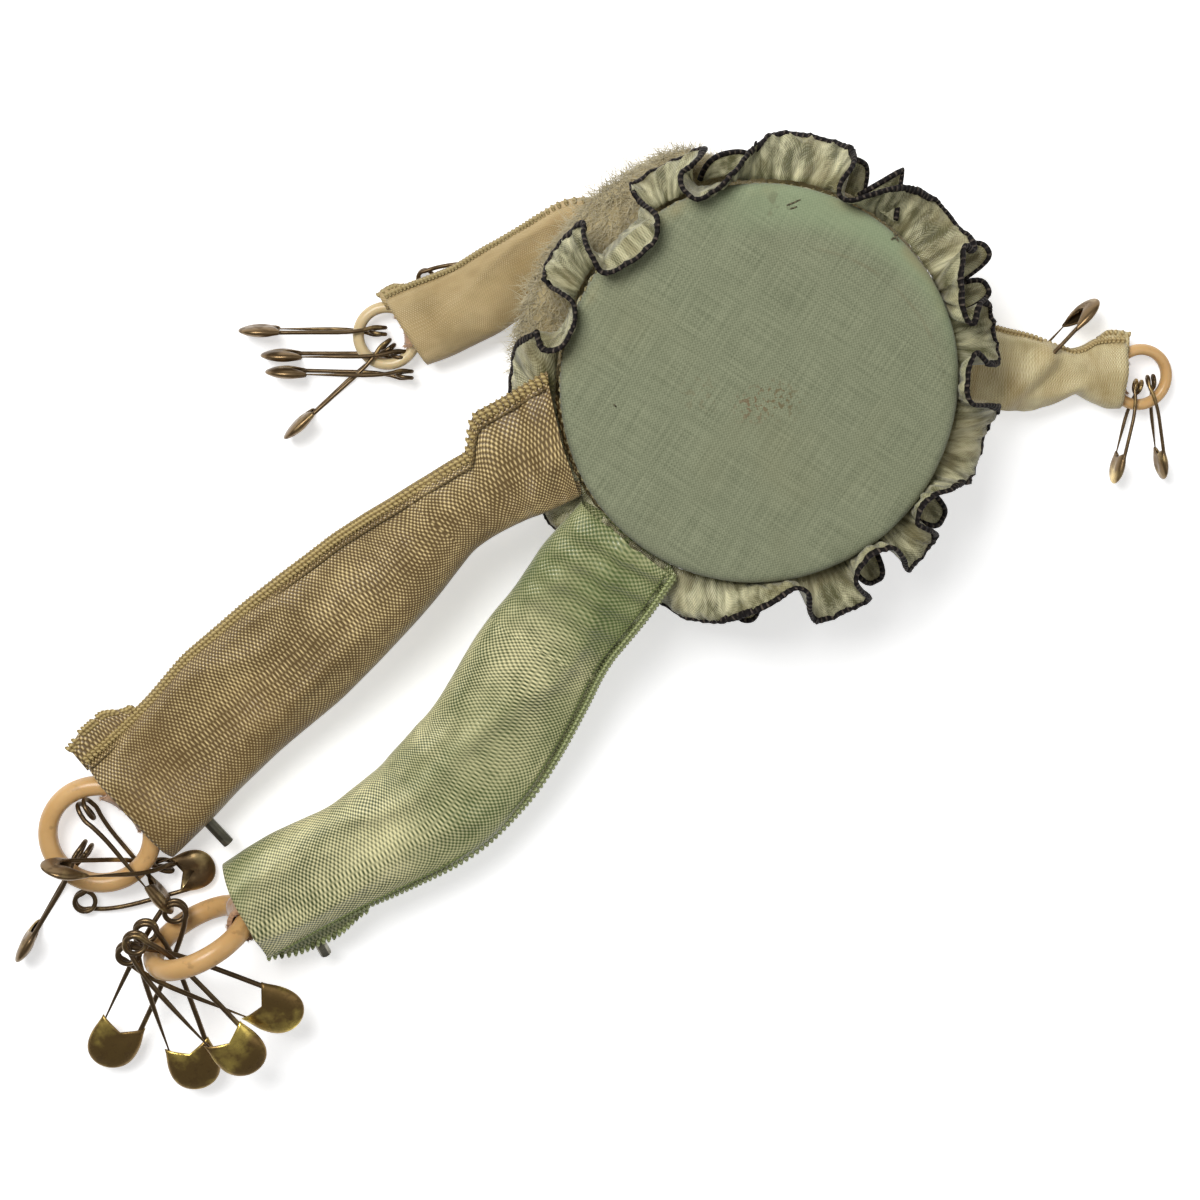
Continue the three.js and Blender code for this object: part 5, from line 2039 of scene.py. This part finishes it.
def limbs() -> list[RibbonLimb]:
    """The four ribbon limbs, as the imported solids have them.

    Returns:
        Two legs and two arms.
    """
    # Each satin's dots and contrast set how strong its painted glints and painted fold shade are.
    gold = Satin("gold_ribbon", (255, 228, 164), (102, 80, 42), (120, 90, 44), shine=0.26, dots=1.3,
                 stain_share=0.3, depth=0.58)
    sage = Satin("sage_ribbon", (255, 246, 190), (68, 80, 36), (84, 104, 46), shine=0.24, dots=1.3,
                 stain_share=0.45, contrast=1.1, depth=0.22, root_shade=0.5)
    cream = Satin("cream_ribbon", (240, 216, 166), (164, 138, 88), (142, 122, 76), pitch=0.42, dots=0.22,
                  stain_share=0.55, drift=60.0, contrast=1.2)
    beige = Satin("beige_ribbon", (255, 246, 198), (178, 152, 98), (166, 138, 82), pitch=0.5, shine=0.24,
                  dots=0.4, stain_share=0.3, fold_scale=3.0, contrast=1.5, ribs=0.22, rib_pitch=0.5)
    braid = StitchedThread("olive_gold_braid", (206, 184, 124), (120, 98, 54))
    lime = StitchedThread("lime_braid", (216, 222, 164), (128, 138, 82))
    olive = StitchedThread("olive_overcast", (190, 172, 122), (140, 122, 80))
    straw = StitchedThread("straw_overcast", (214, 194, 142), (150, 126, 80))
    return [
        RibbonLimb("left_leg", gold, "gold_ribbon", braid, 195, 35.4, -3.4,
                   [(0, 0, 0), (-16.7, -11.3, -4.6), (-29.3, -24.9, -9.6), (-44.1, -38.8, -14.1),
                    (-59.3, -52.8, -17.8), (-72.8, -64.9, -20.2), (-80.8, -71.4, -20.8)],
                   [(0, 12.6, 10.4), (0.08, 12.2, 9.6), (0.115, 12.6, 9.0), (0.135, 7.2, 8.7),
                    (0.2, 8.2, 7.9), (0.25, 9.7, 7.3), (0.32, 11.8, 7.9), (0.4, 13.1, 9.0),
                    (0.5, 13.9, 10.2), (0.6, 14.6, 10.8), (0.74, 14.8, 10.8), (0.84, 13.4, 11.2),
                    (0.92, 13.0, 12.2), (1, 12.6, 13.2)],
                   (5.4, 6, 7, 8.4, 9.6), -1, 15, True, relief=1.15, ear=(14, 3.8), seed=2.0,
                   base_turn=0.12),
        RibbonLimb("right_leg", sage, "sage_ribbon", lime, 231, 35.4, -3.4,
                   [(0, 0, 0), (-7.2, -11.7, -4.6), (-14.2, -23, -9.1), (-20.5, -35.2, -12.6),
                    (-26.1, -45.4, -14.6), (-34.6, -55.2, -15.1), (-45, -61.8, -14.9), (-57.2, -67.5, -14.8),
                    (-70.7, -73.3, -14.6)],
                   [(0, 10.4, 11.6), (0.1, 10.4, 13.0), (0.2, 10.2, 12.6), (0.3, 11.1, 13.6),
                    (0.42, 11.3, 14.2), (0.5, 11.2, 15.1), (0.6, 10.7, 15.4), (0.7, 9.3, 14.8),
                    (0.8, 8.7, 13.6), (0.9, 8.8, 13.6), (0.96, 9.6, 12.8), (1, 9.2, 11.4)],
                   (5.4, 6.5, 7, 8, 13), 1, 15, True, end_roll=-25, relief=1.2, ear=(20, 3.4), seed=5.0),
        RibbonLimb("left_arm", cream, "cream_ribbon", olive, 141, 29.35, -19,
                   [(0, 0, 0), (-7.7, 6.1, -1.6), (-15.7, 3.4, -3), (-28.9, -5.4, -5.8),
                    (-38.4, -11.2, -7.2)],
                   [(0, 7, 8), (0.2, 7.4, 8.4), (0.3, 5.8, 8.6), (0.5, 5.3, 8.8), (0.7, 6.0, 8.9),
                    (0.85, 7.2, 8.1), (1, 8.2, 7.0)],
                   (5, 5, 5.2, 6.4, 7.3), -1, 9, False, relief=0.6, stitch_width=1.3, stitch_pitch=0.7,
                   ear=(4, 1.0), seed=8.0),
        RibbonLimb("right_arm", beige, "gold_ribbon", straw, 2, 29.35, -19,
                   [(0, 0, 0), (8.5, 0.4, -1.6), (18, -0.7, -3), (26, -1.4, -4.6), (34.2, -3.7, -6.4),
                    (42.1, -4, -7.2)],
                   [(0, 8, 7.6), (0.3, 7.9, 7.6), (0.45, 6.9, 7.8), (0.56, 6.0, 8.5), (0.64, 5.0, 8.0),
                    (0.72, 4.8, 6.2), (0.8, 6.4, 2.6), (0.87, 7.6, 4.4), (0.94, 7.9, 5.8), (1, 7.8, 5.6)],
                   (5, 5.2, 5.8, 6.8, 7.3), 1, 9, False, stitch_width=1.3, stitch_pitch=0.8,
                   ear=(5, 1.4), seed=11.0, covered=((47.5, -6.4), (55.6, 1.6), -18.6))]


def rings() -> list[Ring]:
    """The four rings with their flannel loops.

    Returns:
        One for each limb.
    """
    amber = ((230, 190, 132), (192, 146, 86))
    ivory = ((228, 210, 168), (196, 170, 122))
    return [
        Ring("left_leg", "left_leg_lower", RingPlastic("left_leg_amber", *amber), "amber_plastic",
             9.7, 1.8, 2.0, 9, 11, 0.9, 0.5),
        Ring("right_leg", "right_leg_lower", RingPlastic("right_leg_amber", *amber), "amber_plastic",
             9.7, 1.8, 2.0, 7, 6, 0.9, 0.5),
        Ring("left_arm", "left_arm", RingPlastic("left_arm_ivory", *ivory), "ivory_plastic",
             5.2, 1.05, 1.3, 5, 6, 0.5, 0.6),
        Ring("right_arm", "right_arm", RingPlastic("right_arm_amber", *amber), "amber_plastic",
             5.2, 1.05, 1.3, 5, 6, 0.5, 0.6)]


@dataclass
class Studio:
    """Pale floor, soft light and the camera over the doll."""

    floor_level: float = -30.0
    floor_half: float = 1500.0
    camera_place: tuple[float, float, float] = (-66.16, 66.16, 440.17)
    camera_target: tuple[float, float, float] = (-28.41, -37.4, 0.0)
    view_angle: float = 26.35
    lamp_target: tuple[float, float, float] = (-20, -20, -10)
    key_watts: float = 4.0
    fill_watts: float = 0.5
    world_strength: float = 0.19
    floor_glow: float = 0.5

    def build(self) -> None:
        """Builds the floor, the lights, the world and the camera."""
        floor = Surface()
        half = self.floor_half
        floor.grid([[Vector((x, y, self.floor_level)) for x in (-half, half)] for y in (-half, half)],
                   (0, 1), (0, 1))
        floor.piece("floor", self._floor_finish())
        self._lamp("key", (-260, 300, 520), 300, self.key_watts)
        self._lamp("fill", (380, -60, 460), 460, self.fill_watts)
        world = bpy.data.worlds.new("studio")
        world.use_nodes = True
        light = world.node_tree.nodes["Background"].inputs
        light["Strength"].default_value = self.world_strength
        light["Color"].default_value = (1, 1, 1, 1)
        bpy.context.scene.world = world
        bpy.context.scene.view_settings.view_transform = "Standard"
        self._camera()

    def _floor_finish(self) -> bpy.types.Material:
        """White paper that is lifted to white for the camera and in gloss, and keeps its shadows.

        Returns:
            The material.
        """
        maker = Maker("floor_paper")
        path = maker.node("ShaderNodeLightPath")
        outputs = path.socket.node.outputs
        seen = sum((Signal(maker, outputs[name]) for name in ("Is Glossy Ray", "Is Transmission Ray")),
                   Signal(maker, outputs["Is Camera Ray"]))
        glow = (self.floor_glow,) * 3 + (1.0,)
        lifted = maker.mix(seen, (0.0, 0.0, 0.0, 1.0), glow)
        return maker.finish(linear(252, 252, 252), 0.9, Emission_Color=lifted, Emission_Strength=1.0,
                            Specular_IOR_Level=0.1)

    def _lamp(self, name: str, place: tuple[float, float, float], side: float, watts: float) -> None:
        """Adds a square area lamp that faces the doll.

        Args:
            name: the lamp's name.
            place: where it hangs, in mm.
            side: its side, in mm.
            watts: its power.
        """
        data = bpy.data.lights.new(name, "AREA")
        data.energy = watts
        data.size = side * MM
        lamp = bpy.data.objects.new(name, data)
        lamp.matrix_world = self._facing(Vector(place), Vector(self.lamp_target))
        bpy.context.scene.collection.objects.link(lamp)

    @staticmethod
    def _facing(place: Vector, target: Vector) -> Matrix:
        """The matrix of something at a place that looks at a target, upright along +Y.

        Args:
            place: where it is, in mm.
            target: what it looks at, in mm.

        Returns:
            The matrix.
        """
        back = (place - target).normalized()
        right = Vector((0, 1, 0)).cross(back).normalized()
        up = back.cross(right)
        turned = Matrix((right, up, back)).transposed().to_4x4()
        turned.translation = place * MM
        return turned

    def _camera(self) -> None:
        """Adds the camera at the photograph's angle."""
        data = bpy.data.cameras.new("camera")
        data.sensor_fit = "HORIZONTAL"
        data.angle = math.radians(self.view_angle)
        data.clip_start = 0.01
        camera = bpy.data.objects.new("camera", data)
        camera.matrix_world = self._facing(Vector(self.camera_place), Vector(self.camera_target))
        bpy.context.scene.collection.objects.link(camera)
        bpy.context.scene.camera = camera


def dress_rigid_solids() -> None:
    """Gives the card and the crossbars, which stay as packed, their finishes."""
    rod = TarnishedMetal("crossbar_steel", (170, 166, 150), (92, 90, 78), 0.5).build()
    card = Paper("card", (196, 182, 150)).build()
    for node, finish in (("left_leg_crossbar", rod), ("right_leg_crossbar", rod), ("back_card", card)):
        solid = bpy.data.objects[node]
        solid.data.materials.clear()
        solid.data.materials.append(finish)
        log.info("%s dressed", node)


def main() -> None:
    """Builds every sub-assembly in order, then the stage."""
    logging.basicConfig(level=logging.INFO, format="%(name)s: %(message)s")
    BackDisc().build()
    Ruffle().build()
    FrontCushion().build()
    DownCollar().build()
    for limb in limbs():
        limb.build()
    for ring in rings():
        ring.build()
    PinBunch().build()
    dress_rigid_solids()
    Studio().build()


if __name__ == "__main__":
    main()
